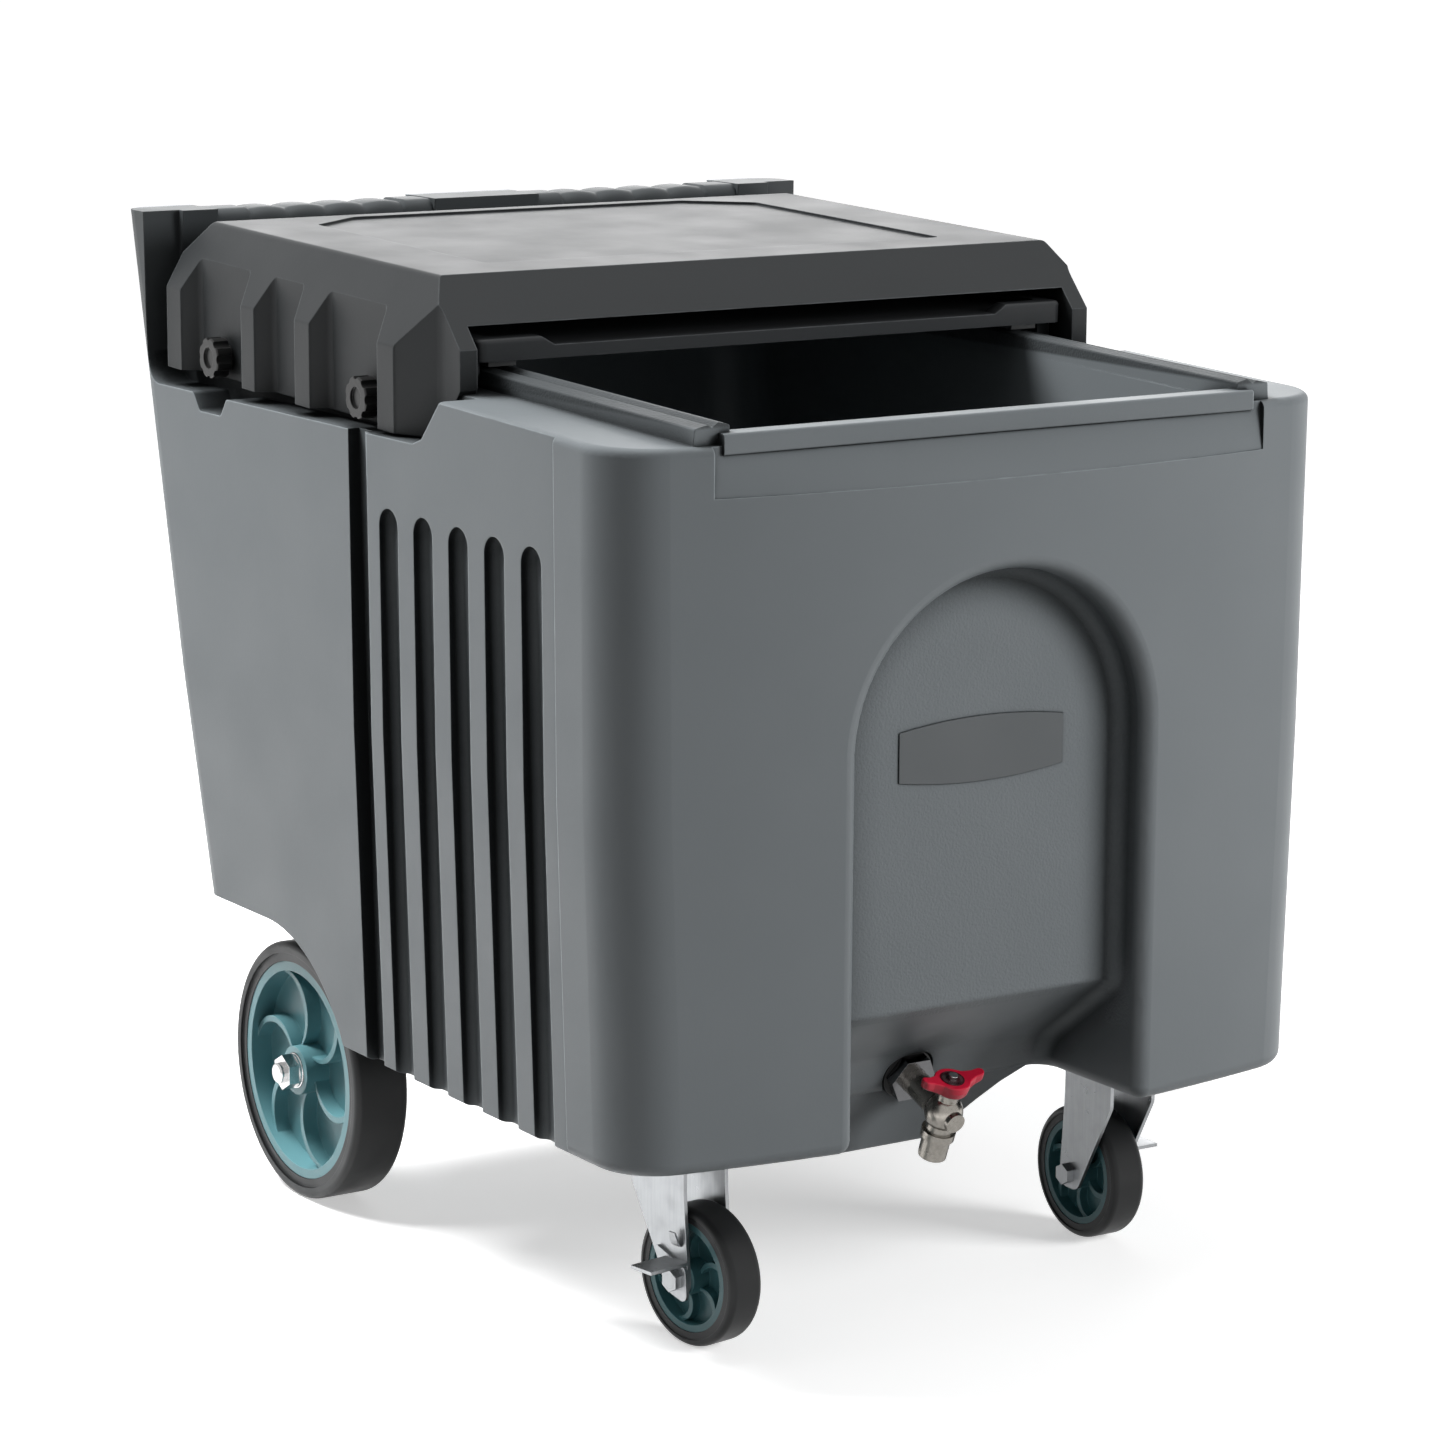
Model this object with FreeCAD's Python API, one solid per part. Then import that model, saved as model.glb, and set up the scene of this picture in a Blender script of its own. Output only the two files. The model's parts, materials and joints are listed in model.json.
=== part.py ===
import FreeCAD, Part
import math
import os

# Mobile ice bin. Millimetres, +Z up, the drain side faces -Y, +X is to the right
# of someone who looks along +Y, and the floor is z = 0.

V = FreeCAD.Vector
X_AXIS = V(1, 0, 0)
Y_AXIS = V(0, 1, 0)
Z_AXIS = V(0, 0, 1)
ORIGIN = V(0, 0, 0)
FULL_TURN = 360.0
HALF_TURN = 180.0
QUARTER_TURN = 90.0
SIDES = (-1, 1)

# ---- body shell, outside ----
body_bottom_z = 148.0
body_waist_z = 400.0
body_top_z = 747.0
half_width_bottom = 291.8
half_width_waist = 299.6
half_width_top = 302.6
front_tip_y = -381.0
front_bow_radius = 1352.0
front_lean_share = 0.004
front_corner_radius = 49.0
rear_tip_y = 381.0
rear_lean_share = 0.2
rear_corner_radius = 25.0
bottom_edge_radius = 9.0
deck_edge_radius = 6.0
wrap_rear_y = -272.7
wrap_proud = 2.2
deck_tilt_deg = 1.9
deck_z_at_middle = 654.2

# ---- body shell, seat of the hood and the rear handle ----
seat_half_width = 270.0
ledge_z = 616.5
ledge_front_y = -78.0
ledge_slope_foot_y = -91.0
ledge_slope_foot_z = 621.0
ledge_slope_head_y = -118.0
notch_front_y = 207.0
notch_rear_y = 262.0
notch_depth = 13.5
notch_radius = 10.0
post_front_y = 340.0
post_knee_z = 680.0
post_top_y = 332.0
post_foot_radius = 20.0
grip_inner_x = 48.0
grip_outer_x = 240.0
grip_drop = 7.0
grip_bar_depth = 30.0
grip_bar_front_setback = 6.0
grip_hole_bottom_z = 678.0
grip_hole_radius = 12.0
finger_groove_first_x = 70.0
finger_groove_pitch = 34.3
finger_groove_count = 5
finger_groove_radius = 12.0
finger_groove_depth = 4.0
handle_edge_radius = 4.0

# ---- body shell, wheel wells ----
well_inner_x = 215.0
well_roof_z = 224.5
well_arc_radius = 126.5
well_arc_centre_y = 168.0
well_arc_centre_z = 98.0
well_heel_size = 9.0

# ---- body shell, side slots ----
slot_width = 27.0
slot_depth = 11.0
slot_top_z = 566.0
slot_first_y = -41.6
slot_pitch = 49.4
slot_count = 5
slot_floor_radius = 6.0
channel_front_y = -10.9
channel_rear_y = 15.8
channel_depth = 6.0
channel_inner_front_y = -4.0
channel_inner_depth = 12.0

# ---- body shell, arch recess and tap bay ----
arch_half_width = 121.9
arch_spring_z = 422.3
arch_panel_y = -345.0
arch_floor_radius = 10.0
arch_edge_radius = 10.0
arch_ledge_z = 237.0
bay_step_y = -345.0
bay_step_z = 234.0
bay_heel_y = -268.0
bay_heel_z = 176.0
bay_heel_radius = 45.0
bay_step_radius = 5.0
bay_foot_y = -235.5
bay_foot_z = 100.0
drain_lean_deg = 21.0

# ---- body shell, sump under the tub ----
sump_outline_x = (40.0, 42.0, 60.0, 73.5, 91.5, 112.0)
sump_outline_z = (100.0, 109.0, 117.0, 127.0, 139.0, 149.0)
sump_top_z = 160.0
sump_rear_y = 40.0
sump_rear_foot_y = -40.0

# ---- body shell, front finger recess, rim and rails ----
recess_half_width = 231.0
recess_bottom_z = 608.2
recess_head_z = 636.0
recess_back_y = -357.0
recess_back_bow = 1.0
recess_skin = 0.8
rim_half_width = 222.7
rim_front_y = -359.5
rim_top_z = 650.4
rim_groove_height = 4.0
rim_groove_depth = 6.0
rail_outer_x = 242.5
rail_shoulder_x = 241.0
rail_shoulder_rise = 11.5
rail_strip_x = 231.2
rail_strip_rise = 13.5
rail_valley_x = 227.5
rail_valley_rise = 11.5
rail_ridge_x = 219.9
rail_ridge_rise = 15.0
rail_ridge_inner_rise = 13.0
rail_root_sink = 4.0
rail_front_y = -352.0
rail_rear_y = 300.0
rail_edge_radius = 1.5
rail_ridge_radius = 2.5

# ---- tub inside ----
tub_mouth_half_width = 214.0
tub_mouth_front_y = -341.0
tub_mouth_rear_y = 285.0
tub_over_z = 690.0
tub_waist_z = 560.0
tub_waist_front_y = -312.0
tub_waist_rear_y = 272.0
tub_waist_half_width = 210.0
tub_floor_z = 190.0
tub_floor_half_width = 185.0
tub_floor_front_y = -235.0
tub_floor_rear_y = 215.0
tub_knee_z = 262.0
tub_knee_front_y = -306.0
tub_knee_rear_y = 245.0
tub_knee_half_width = 200.0
tub_corner_radius = 40.0
tub_floor_edge_radius = 22.0

# ---- badge plate ----
badge_half_width = 70.0
badge_side_low_z = 397.0
badge_side_high_z = 432.0
badge_bow = 5.5
badge_thickness = 1.6
badge_sink = 0.6

# ---- hood ----
hood_tilt_deg = 1.8
hood_top_z_at_middle = 732.1
hood_top_half_width = 264.0
hood_crease_half_width = 293.0
hood_crease_drop = 50.3
hood_skirt_drop = 112.0
hood_front_top_y = -56.0
hood_front_corner_y = -100.0
hood_front_corner_drop = 47.0
hood_rear_top_y = 292.7
hood_rear_y = 317.0
hood_wall_inner_x = 259.0
hood_skin = 12.0
hood_rear_wall = 14.0
hood_opening_drop = 33.0
hood_rest_gap = 0.1
hood_side_gap = 0.3
hood_leg_outer_x = 273.0
hood_leg_curve_rear_y = -39.0
hood_leg_curve_front_y = -75.0
hood_chin_front_y = -100.0
hood_chin_rear_y = -70.0
hood_chin_rise = 36.0
flute_floor_x = 279.0
flute_rear_y = (294.0, 173.0, 86.0)
flute_front_y = (193.0, 108.0, -17.0)
flute_slope_run = 9.0
flute_radius = 6.0
hood_crease_radius = 5.0
panel_depth = 2.0
panel_rear_y = 280.0
panel_rear_half_width = 150.0
panel_corner_y = 245.0
panel_half_width = 200.0
panel_front_y = -10.0
panel_radius = 6.0

# ---- sliding lid ----
lid_half_width = 255.0
lid_front_y = -92.0
lid_rear_y = 270.0
lid_bottom_rise = 20.5
lid_thickness = 16.0
lid_border = 14.0
lid_pocket_depth = 6.4
lid_dip_half_width = 192.0
lid_dip_run = 16.0
lid_skirt_inner_x = 244.0
lid_skirt_rise = 3.0
lid_corner_radius = 8.0
lid_edge_radius = 3.0
runner_inner_x = 216.5
runner_outer_x = 239.0
runner_gap = 0.15
runner_front_setback = 12.0
runner_rear_setback = 12.0
runner_seat_sink = 2.0

# ---- star knobs ----
knob_y = (10.0, 242.0)
knob_z = (639.0, 644.0)
knob_outer_radius = 15.5
knob_lobe_count = 8
knob_lobe_cut_radius = 4.2
knob_lobe_cut_centre = 17.6
knob_thickness = 13.0
knob_neck_radius = 9.0
knob_neck_length = 4.0
knob_seat_gap = 0.1
knob_dish_radius = 8.0
knob_dish_depth = 2.0
knob_edge_radius = 1.2
stud_radius = 4.0
stud_length = 40.0
stud_fit = 0.05
stud_in_knob = 12.0
stud_hole_radius = 5.0
insert_radius = 8.0
insert_length = 22.0
insert_depth_spare = 6.0

# ---- rear axle, brackets and wheels ----
axle_y = 172.4
axle_z = 100.0
axle_radius = 8.0
axle_half_length = 284.0
bracket_x = 150.0
bracket_plate_half_x = 32.0
bracket_plate_half_y = 44.0
bracket_thickness = 5.0
bracket_ear_half_y = 30.0
bracket_eye_radius = 18.0
bracket_corner_radius = 8.0
bracket_bolt_offset_y = 32.0
bracket_bolt_offset_x = 18.0
bolt_radius = 4.0
bolt_length = 24.0
bolt_head_flats = 13.0
bolt_head_height = 5.5
bolt_hole_clearance = 0.3
wheel_radius = 100.0
wheel_width = 45.0
wheel_outer_x = 268.0
wheel_rim_radius = 84.4
wheel_rim_inner_radius = 77.0
wheel_core_width = 40.0
wheel_web_thickness = 5.0
wheel_hub_radius = 19.0
wheel_hub_length = 44.0
wheel_rib_count = 6
wheel_rib_thickness = 5.0
wheel_rib_depth = 12.0
wheel_rib_bend = 26.0
tyre_shoulder_radius = 5.0
tyre_tread_half_width = 19.0
tyre_ring_radius = 91.0
tyre_ring_sink = 2.0
bearing_outer_radius = 14.0
bearing_running_gap = 0.05
axle_washer_radius = 13.0
axle_washer_thickness = 2.5
axle_nut_flats = 24.0
axle_nut_height = 9.0
spacer_radius = 12.0
axle_stack_gap = 0.1

# ---- front casters ----
caster_x = 192.7
caster_y = -255.0
caster_yaw_deg = (188.5, -0.8)
caster_trail = 26.5
caster_wheel_radius = 50.0
caster_wheel_width = 29.0
caster_rim_radius = 39.6
caster_plate_half_x = 38.0
caster_plate_half_y = 46.0
caster_plate_thickness = 3.5
caster_plate_radius = 8.0
caster_bolt_offset_x = 28.0
caster_bolt_offset_y = 36.0
race_outer_radius = 29.0
race_top_radius = 24.0
race_height = 8.5
race_wall = 3.0
caster_gap = 0.1
kingpin_radius = 6.0
kingpin_head_radius = 10.0
kingpin_head_height = 4.0
fork_crown_z = 133.0
fork_sheet = 3.0
fork_inner_half = 17.5
fork_crown_front_y = -30.0
fork_crown_rear_y = 38.0
fork_bend_radius = 6.0
fork_axle_boss = 11.0
fork_bend_z = 112.0
caster_axle_radius = 5.0
caster_axle_head_flats = 14.0
caster_axle_head_height = 6.0
caster_core_hub_radius = 13.0
caster_core_web = 5.0
caster_core_width = 26.0
caster_rim_wall = 5.0
caster_rib_count = 6
caster_rib_thickness = 4.0
caster_rib_bend = 11.0
caster_rib_depth = 7.0
caster_hub_half = 17.3
caster_shoulder_radius = 5.0
brake_sheet = 2.5
brake_hub_radius = 10.0
brake_flange_z = 22.0
brake_arm_y = 24.0
brake_hook_z = -16.0
brake_pedal_reach = 34.0
brake_pedal_half_width = 11.0
brake_pedal_z = 12.0

# ---- drain tap ----
tap_wall_y = -259.3
tap_wall_z = 162.0
tap_reach = 50.8
gasket_radius = 20.0
gasket_thickness = 3.0
gasket_seat_spare = 1.5
gasket_seat_depth = 18.0
tap_bore_radius = 7.5
tap_tube_radius = 10.0
tap_hole_clearance = 0.3
tap_nut_flats = 33.0
tap_nut_height = 9.0
tap_body_radius = 14.0
tap_ball_radius = 10.5
tap_ball_gap = 0.15
tap_ball_port_radius = 6.5
tap_cap_radius = 7.5
tap_cap_reach = 16.0
tap_bonnet_radius = 8.0
tap_bonnet_reach = 19.5
tap_stem_radius = 3.5
tap_stem_fit = 0.05
tap_stem_top = 32.0
tap_tang_half = 1.5
handle_hub_radius = 8.0
handle_hub_base = 20.5
handle_hub_height = 8.0
handle_wing_span = 42.0
handle_wing_half_width = 7.0
handle_wing_thickness = 4.5
handle_wing_lift = 1.5
handle_nut_flats = 8.0
handle_nut_height = 3.5
outlet_radius = 10.475
outlet_bore_radius = 7.5
outlet_reach = 37.5
outlet_collar_radius = 12.5
outlet_collar_from = 15.0
outlet_collar_to = 21.0

# ---- shared allowances ----
overshoot = 60.0
run_length = 1200.0
bolt_hole_spare = 4.0


# ---------------------------------------------------------------- helpers
def rounded_wire(points, radii):
    """Closed outline of straight lines with an arc of its own radius at each corner."""
    count = len(points)
    if not isinstance(radii, (list, tuple)):
        radii = [radii] * count
    entry, middle, leave = [], [], []
    for i in range(count):
        corner = points[i]
        before = points[i - 1] - corner
        after = points[(i + 1) % count] - corner
        before.normalize()
        after.normalize()
        if radii[i] == 0:
            entry.append(corner)
            leave.append(corner)
            middle.append(None)
            continue
        half = before.getAngle(after) / 2
        inset = radii[i] / math.tan(half)
        inward = before + after
        inward.normalize()
        entry.append(corner + before * inset)
        leave.append(corner + after * inset)
        middle.append(corner + inward * (radii[i] / math.sin(half) - radii[i]))
    edges = []
    for i in range(count):
        if middle[i] is not None:
            edges.append(Part.Arc(entry[i], middle[i], leave[i]).toShape())
        following = entry[(i + 1) % count]
        if not leave[i].isEqual(following, bottom_edge_radius * tiny_share):
            edges.append(Part.makeLine(leave[i], following))
    return Part.Wire(edges)


tiny_share = 1e-7


def prism_x(points, radii, x_from, x_to):
    """Outline in (y, z), pushed along X."""
    wire = rounded_wire([V(x_from, a, b) for a, b in points], radii)
    return Part.Face(wire).extrude(V(x_to - x_from, 0, 0))


def prism_y(points, radii, y_from, y_to):
    """Outline in (x, z), pushed along Y."""
    wire = rounded_wire([V(a, y_from, b) for a, b in points], radii)
    return Part.Face(wire).extrude(V(0, y_to - y_from, 0))


def prism_z(points, radii, z_from, z_to):
    """Outline in (x, y), pushed along Z."""
    wire = rounded_wire([V(a, b, z_from) for a, b in points], radii)
    return Part.Face(wire).extrude(V(0, 0, z_to - z_from))


def rod(radius, base, axis, length):
    return Part.makeCylinder(radius, length, base, axis)


def block(low, high):
    size = high - low
    return Part.makeBox(size.x, size.y, size.z, low)


def lathe(points, radii, base, axis):
    """Outline in (radius, distance along the axis), turned a full circle."""
    wire = rounded_wire([V(a, 0, b) for a, b in points], radii)
    solid = Part.Face(wire).revolve(ORIGIN, Z_AXIS, FULL_TURN)
    solid.Placement = FreeCAD.Placement(base, FreeCAD.Rotation(Z_AXIS, axis))
    return solid


def hexagon(flats, base, axis, length):
    """Hexagonal prism measured across its flats."""
    reach = flats / 2 / math.cos(math.pi / 6)
    points = []
    for i in range(6):
        angle = math.pi / 3 * i
        points.append(V(reach * math.cos(angle), reach * math.sin(angle), 0))
    solid = Part.Face(Part.makePolygon(points + points[:1])).extrude(Z_AXIS * length)
    solid.Placement = FreeCAD.Placement(base, FreeCAD.Rotation(Z_AXIS, axis))
    return solid


def mirrored(shape):
    return shape.mirror(ORIGIN, X_AXIS)


def both_sides(shape):
    return [shape, mirrored(shape)]


def turned_about(shape, centre, axis, degrees):
    copy = shape.copy()
    copy.rotate(centre, axis, degrees)
    return copy


def edges_where(shape, test):
    return [edge for edge in shape.Edges if test(edge)]


def softened(shape, test, radius):
    return shape.makeFillet(radius, edges_where(shape, test))


def write(name, shapes):
    """One file per piece; equal pieces are written as one group."""
    shape = shapes[0] if len(shapes) == 1 else Part.makeCompound(shapes)
    shape.exportStep("parts/" + name + ".step")


deck_slope = math.tan(math.radians(deck_tilt_deg))
hood_slope = math.tan(math.radians(hood_tilt_deg))


def deck_z(y):
    return deck_z_at_middle + y * deck_slope


def hood_z(y):
    return hood_top_z_at_middle + y * hood_slope


def rear_y(z):
    return rear_tip_y - (body_top_z - z) * rear_lean_share


def half_width(z):
    """Outer half width of the body, straight from the bottom to the waist to the top."""
    if z < body_waist_z:
        share = (z - body_bottom_z) / (body_waist_z - body_bottom_z)
        return half_width_bottom + (half_width_waist - half_width_bottom) * share
    share = (z - body_waist_z) / (body_top_z - body_waist_z)
    return half_width_waist + (half_width_top - half_width_waist) * share


# ---------------------------------------------------------------- body shell
def body_plan(z, inset):
    """Level outline of the body: bowed front, round corners, flat back."""
    half = half_width(z) - inset
    tip = front_tip_y + (recess_bottom_z - z) * front_lean_share
    back = rear_y(z)
    bow_centre = V(0, tip + front_bow_radius, z)
    reach = half - front_corner_radius
    drop = math.sqrt((front_bow_radius - front_corner_radius) ** 2 - reach ** 2)
    corner = V(reach, tip + front_bow_radius - drop, z)
    outward = corner - bow_centre
    outward.normalize()
    bow_end = bow_centre + outward * front_bow_radius
    diagonal = outward + X_AXIS
    diagonal.normalize()
    corner_middle = corner + diagonal * front_corner_radius
    rear_corner = V(half - rear_corner_radius, back - rear_corner_radius, z)
    rear_diagonal = X_AXIS + Y_AXIS
    rear_diagonal.normalize()
    rear_middle = rear_corner + rear_diagonal * rear_corner_radius
    side_front = V(half, corner.y, z)
    side_rear = V(half, rear_corner.y, z)
    back_end = V(rear_corner.x, back, z)

    def other(point):
        return V(-point.x, point.y, point.z)

    edges = [
        Part.Arc(other(bow_end), V(0, tip, z), bow_end).toShape(),
        Part.Arc(bow_end, corner_middle, side_front).toShape(),
        Part.makeLine(side_front, side_rear),
        Part.Arc(side_rear, rear_middle, back_end).toShape(),
        Part.makeLine(back_end, other(back_end)),
        Part.Arc(other(back_end), other(rear_middle), other(side_rear)).toShape(),
        Part.makeLine(other(side_rear), other(side_front)),
        Part.Arc(other(side_front), other(corner_middle), other(bow_end)).toShape(),
    ]
    return Part.Wire(edges)


def body_blank(inset):
    levels = (body_bottom_z, body_waist_z, body_top_z)
    return Part.makeLoft([body_plan(z, inset) for z in levels], True, True)


def above_deck():
    """Everything over the sloping deck, in front of the rear handle."""
    points = [
        (front_tip_y - overshoot, deck_z(front_tip_y - overshoot)),
        (post_front_y, deck_z(post_front_y)),
        (post_front_y, post_knee_z),
        (post_top_y, body_top_z + handle_edge_radius),
        (post_top_y, body_top_z + overshoot),
        (front_tip_y - overshoot, body_top_z + overshoot),
    ]
    return prism_x(points, 0, -half_width_top - overshoot, half_width_top + overshoot)


def wrap_step():
    """The thin layer off the sides behind the front wrap."""
    outer = block(
        V(-half_width_top - overshoot, wrap_rear_y, body_bottom_z - overshoot),
        V(half_width_top + overshoot, rear_tip_y + overshoot, body_top_z + overshoot),
    )
    core = body_blank(wrap_proud)
    low = block(
        V(-seat_half_width, wrap_rear_y - overshoot, body_bottom_z - overshoot),
        V(seat_half_width, rear_tip_y + overshoot, body_top_z + overshoot),
    )
    return outer.cut(core).cut(low)


def hood_ledge():
    """Side cut that leaves the ledge under the hood skirt, with the knob notch."""
    notch_z = ledge_z - notch_depth
    points = [
        (ledge_slope_head_y, deck_z(ledge_slope_head_y)),
        (ledge_slope_foot_y, ledge_slope_foot_z),
        (ledge_front_y, ledge_z),
        (notch_front_y, ledge_z),
        (notch_front_y + notch_radius, notch_z),
        (notch_rear_y - notch_radius, notch_z),
        (notch_rear_y, ledge_z),
        (post_front_y, ledge_z),
        (post_front_y, body_top_z),
        (ledge_slope_head_y, body_top_z),
    ]
    soft = handle_edge_radius
    radii = [0, soft, soft, soft, soft, soft, soft, post_foot_radius, 0, 0]
    side = prism_x(points, radii, seat_half_width, half_width_top + overshoot)
    return both_sides(side)


def wheel_wells():
    """Room for the rear wheels, open to the side, to the rear and below."""
    low = body_bottom_z - overshoot
    arc = rod(well_arc_radius, V(well_inner_x, well_arc_centre_y, well_arc_centre_z), X_AXIS,
              half_width_top + overshoot - well_inner_x)
    back = block(V(well_inner_x, well_arc_centre_y, low),
                 V(half_width_top + overshoot, rear_tip_y + overshoot, well_roof_z))
    heel_y = rear_y(well_roof_z)
    heel = prism_x(
        [
            (heel_y - well_heel_size, well_roof_z),
            (heel_y + overshoot, well_roof_z + well_heel_size + overshoot),
            (heel_y + overshoot, low),
            (heel_y - well_heel_size, low),
        ],
        0, well_inner_x, half_width_top + overshoot)
    return both_sides(arc.fuse([back, heel]).removeSplitter())


def leaned_to_side(shape):
    """Turns an upright side cutter so that it follows the leaning side wall."""
    run = half_width(slot_top_z) - half_width_bottom
    lean = math.degrees(math.atan(run / (slot_top_z - body_bottom_z)))
    return turned_about(shape, V(half_width_bottom, 0, body_bottom_z), Y_AXIS, lean)


def side_slots():
    """Vertical flutes with round heads and a rolled floor, open at the bottom."""
    cutters = []
    low = body_bottom_z - overshoot
    floor_x = half_width_bottom - slot_depth
    half = slot_width / 2
    for i in range(slot_count):
        centre = slot_first_y - slot_pitch * i
        front_foot = V(floor_x, centre - half, low)
        rear_foot = V(floor_x, centre + half, low)
        front_head = V(floor_x, centre - half, slot_top_z - half)
        rear_head = V(floor_x, centre + half, slot_top_z - half)
        crown = V(floor_x, centre, slot_top_z)
        outline = Part.Wire([
            Part.makeLine(front_foot, front_head),
            Part.Arc(front_head, crown, rear_head).toShape(),
            Part.makeLine(rear_head, rear_foot),
            Part.makeLine(rear_foot, front_foot),
        ])
        slot = Part.Face(outline).extrude(V(half_width_top + overshoot - floor_x, 0, 0))

        def on_floor(edge):
            flat = all(abs(v.X - floor_x) < slot_depth * tiny_share for v in edge.Vertexes)
            return flat and edge.CenterOfMass.z > low + slot_depth

        slot = softened(slot, on_floor, slot_floor_radius)
        cutters += both_sides(leaned_to_side(slot))
    return cutters


def side_channel():
    """Stepped channel between the slots and the plain rear of each side."""
    low = body_bottom_z - overshoot
    high = ledge_z + overshoot
    shallow = block(V(half_width_bottom - channel_depth, channel_front_y, low),
                    V(half_width_top + overshoot, channel_rear_y, high))
    deep = block(V(half_width_bottom - channel_inner_depth, channel_inner_front_y, low),
                 V(half_width_top + overshoot, channel_rear_y, high))
    return both_sides(leaned_to_side(shallow.fuse(deep).removeSplitter()))


def arch_bay():
    """Round-headed recess in the front that opens below into the bay of the tap."""
    front = front_tip_y - overshoot
    half = arch_half_width
    foot = arch_ledge_z - overshoot / 2
    left_foot = V(-half, front, foot)
    right_foot = V(half, front, foot)
    left = V(-half, front, arch_spring_z)
    right = V(half, front, arch_spring_z)
    crown = V(0, front, arch_spring_z + half)
    outline = Part.Wire([
        Part.makeLine(left_foot, left),
        Part.Arc(left, crown, right).toShape(),
        Part.makeLine(right, right_foot),
        Part.makeLine(right_foot, left_foot),
    ])
    arch = Part.Face(outline).extrude(V(0, arch_panel_y - front, 0))
    lean = math.tan(math.radians(drain_lean_deg))
    low = sump_outline_z[0] - overshoot
    low_y = bay_foot_y + (bay_foot_z - low) * lean
    below = prism_x(
        [
            (front, low),
            (front, arch_ledge_z + overshoot / 2),
            (arch_panel_y, arch_ledge_z + overshoot / 2),
            (bay_step_y, bay_step_z),
            (bay_heel_y, bay_heel_z),
            (low_y, low),
        ],
        [0, 0, 0, bay_step_radius, bay_heel_radius, 0], -half, half)
    bay = arch.fuse(below).removeSplitter()

    def inner_corner(edge):
        ends = edge.Vertexes
        behind = all(v.Y > arch_panel_y - deck_edge_radius * tiny_share for v in ends)
        on_side = all(abs(abs(v.X) - half) < deck_edge_radius * tiny_share for v in ends)
        middle = edge.CenterOfMass
        return behind and on_side and middle.z > low + deck_edge_radius

    return softened(bay, inner_corner, arch_floor_radius)


def front_recess():
    """Finger recess under the front rim, from the bowed front back to a straight line."""
    front = front_tip_y - overshoot
    half = recess_half_width
    tip = front_tip_y + recess_skin
    sag = front_bow_radius - math.sqrt(front_bow_radius ** 2 - half ** 2)

    def level(z, middle_y, end_y):
        left = V(-half, end_y, z)
        right = V(half, end_y, z)
        far_right = V(half, front, z)
        far_left = V(-half, front, z)
        return Part.Wire([
            Part.Arc(left, V(0, middle_y, z), right).toShape(),
            Part.makeLine(right, far_right),
            Part.makeLine(far_right, far_left),
            Part.makeLine(far_left, left),
        ])

    bowed = level(recess_bottom_z, tip, tip + sag)
    straight = level(recess_head_z, recess_back_y - recess_back_bow, recess_back_y)
    slope = Part.makeLoft([bowed, straight], True, True)
    over = Part.Face(straight).extrude(V(0, 0, overshoot))
    return slope.fuse(over).removeSplitter()


def rails_and_rim():
    """Two lid rails along the deck and the low rim across the front of the mouth."""
    rail_points = [
        (rail_outer_x, -rail_root_sink),
        (rail_shoulder_x, rail_shoulder_rise),
        (rail_strip_x, rail_strip_rise),
        (rail_valley_x, rail_valley_rise),
        (rail_ridge_x + rail_ridge_radius, rail_ridge_rise),
        (tub_mouth_half_width, rail_ridge_inner_rise),
        (tub_mouth_half_width, -rail_root_sink),
    ]
    radii = [0, rail_edge_radius, rail_edge_radius, rail_edge_radius, rail_ridge_radius,
             rail_edge_radius, 0]
    rail = prism_y(rail_points, radii, rail_front_y, rail_rear_y)
    rail.translate(V(0, 0, deck_z_at_middle))
    rail = turned_about(rail, V(0, 0, deck_z_at_middle), X_AXIS, deck_tilt_deg)
    rim = prism_x(
        [
            (rim_front_y, recess_head_z),
            (rim_front_y, rim_top_z),
            (tub_mouth_front_y, rim_top_z),
            (tub_mouth_front_y, recess_head_z),
        ],
        [rail_edge_radius, rail_ridge_radius, rail_edge_radius, 0], -rim_half_width, rim_half_width)
    return both_sides(rail) + [rim]


def tub_level(z, front, back, half):
    points = [V(-half, front, z), V(half, front, z), V(half, back, z), V(-half, back, z)]
    return rounded_wire(points, tub_corner_radius)


def tub_room():
    """The inside of the tub, from the floor up through the mouth."""
    levels = [
        tub_level(tub_floor_z, tub_floor_front_y, tub_floor_rear_y, tub_floor_half_width),
        tub_level(tub_knee_z, tub_knee_front_y, tub_knee_rear_y, tub_knee_half_width),
        tub_level(tub_waist_z, tub_waist_front_y, tub_waist_rear_y, tub_waist_half_width),
        tub_level(rim_top_z, tub_mouth_front_y, tub_mouth_rear_y, tub_mouth_half_width),
        tub_level(tub_over_z, tub_mouth_front_y, tub_mouth_rear_y, tub_mouth_half_width),
    ]
    room = Part.makeLoft(levels, True, True)

    def at_floor(edge):
        return all(v.Z < tub_floor_z + deck_edge_radius * tiny_share for v in edge.Vertexes)

    return softened(room, at_floor, tub_floor_edge_radius)


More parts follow.
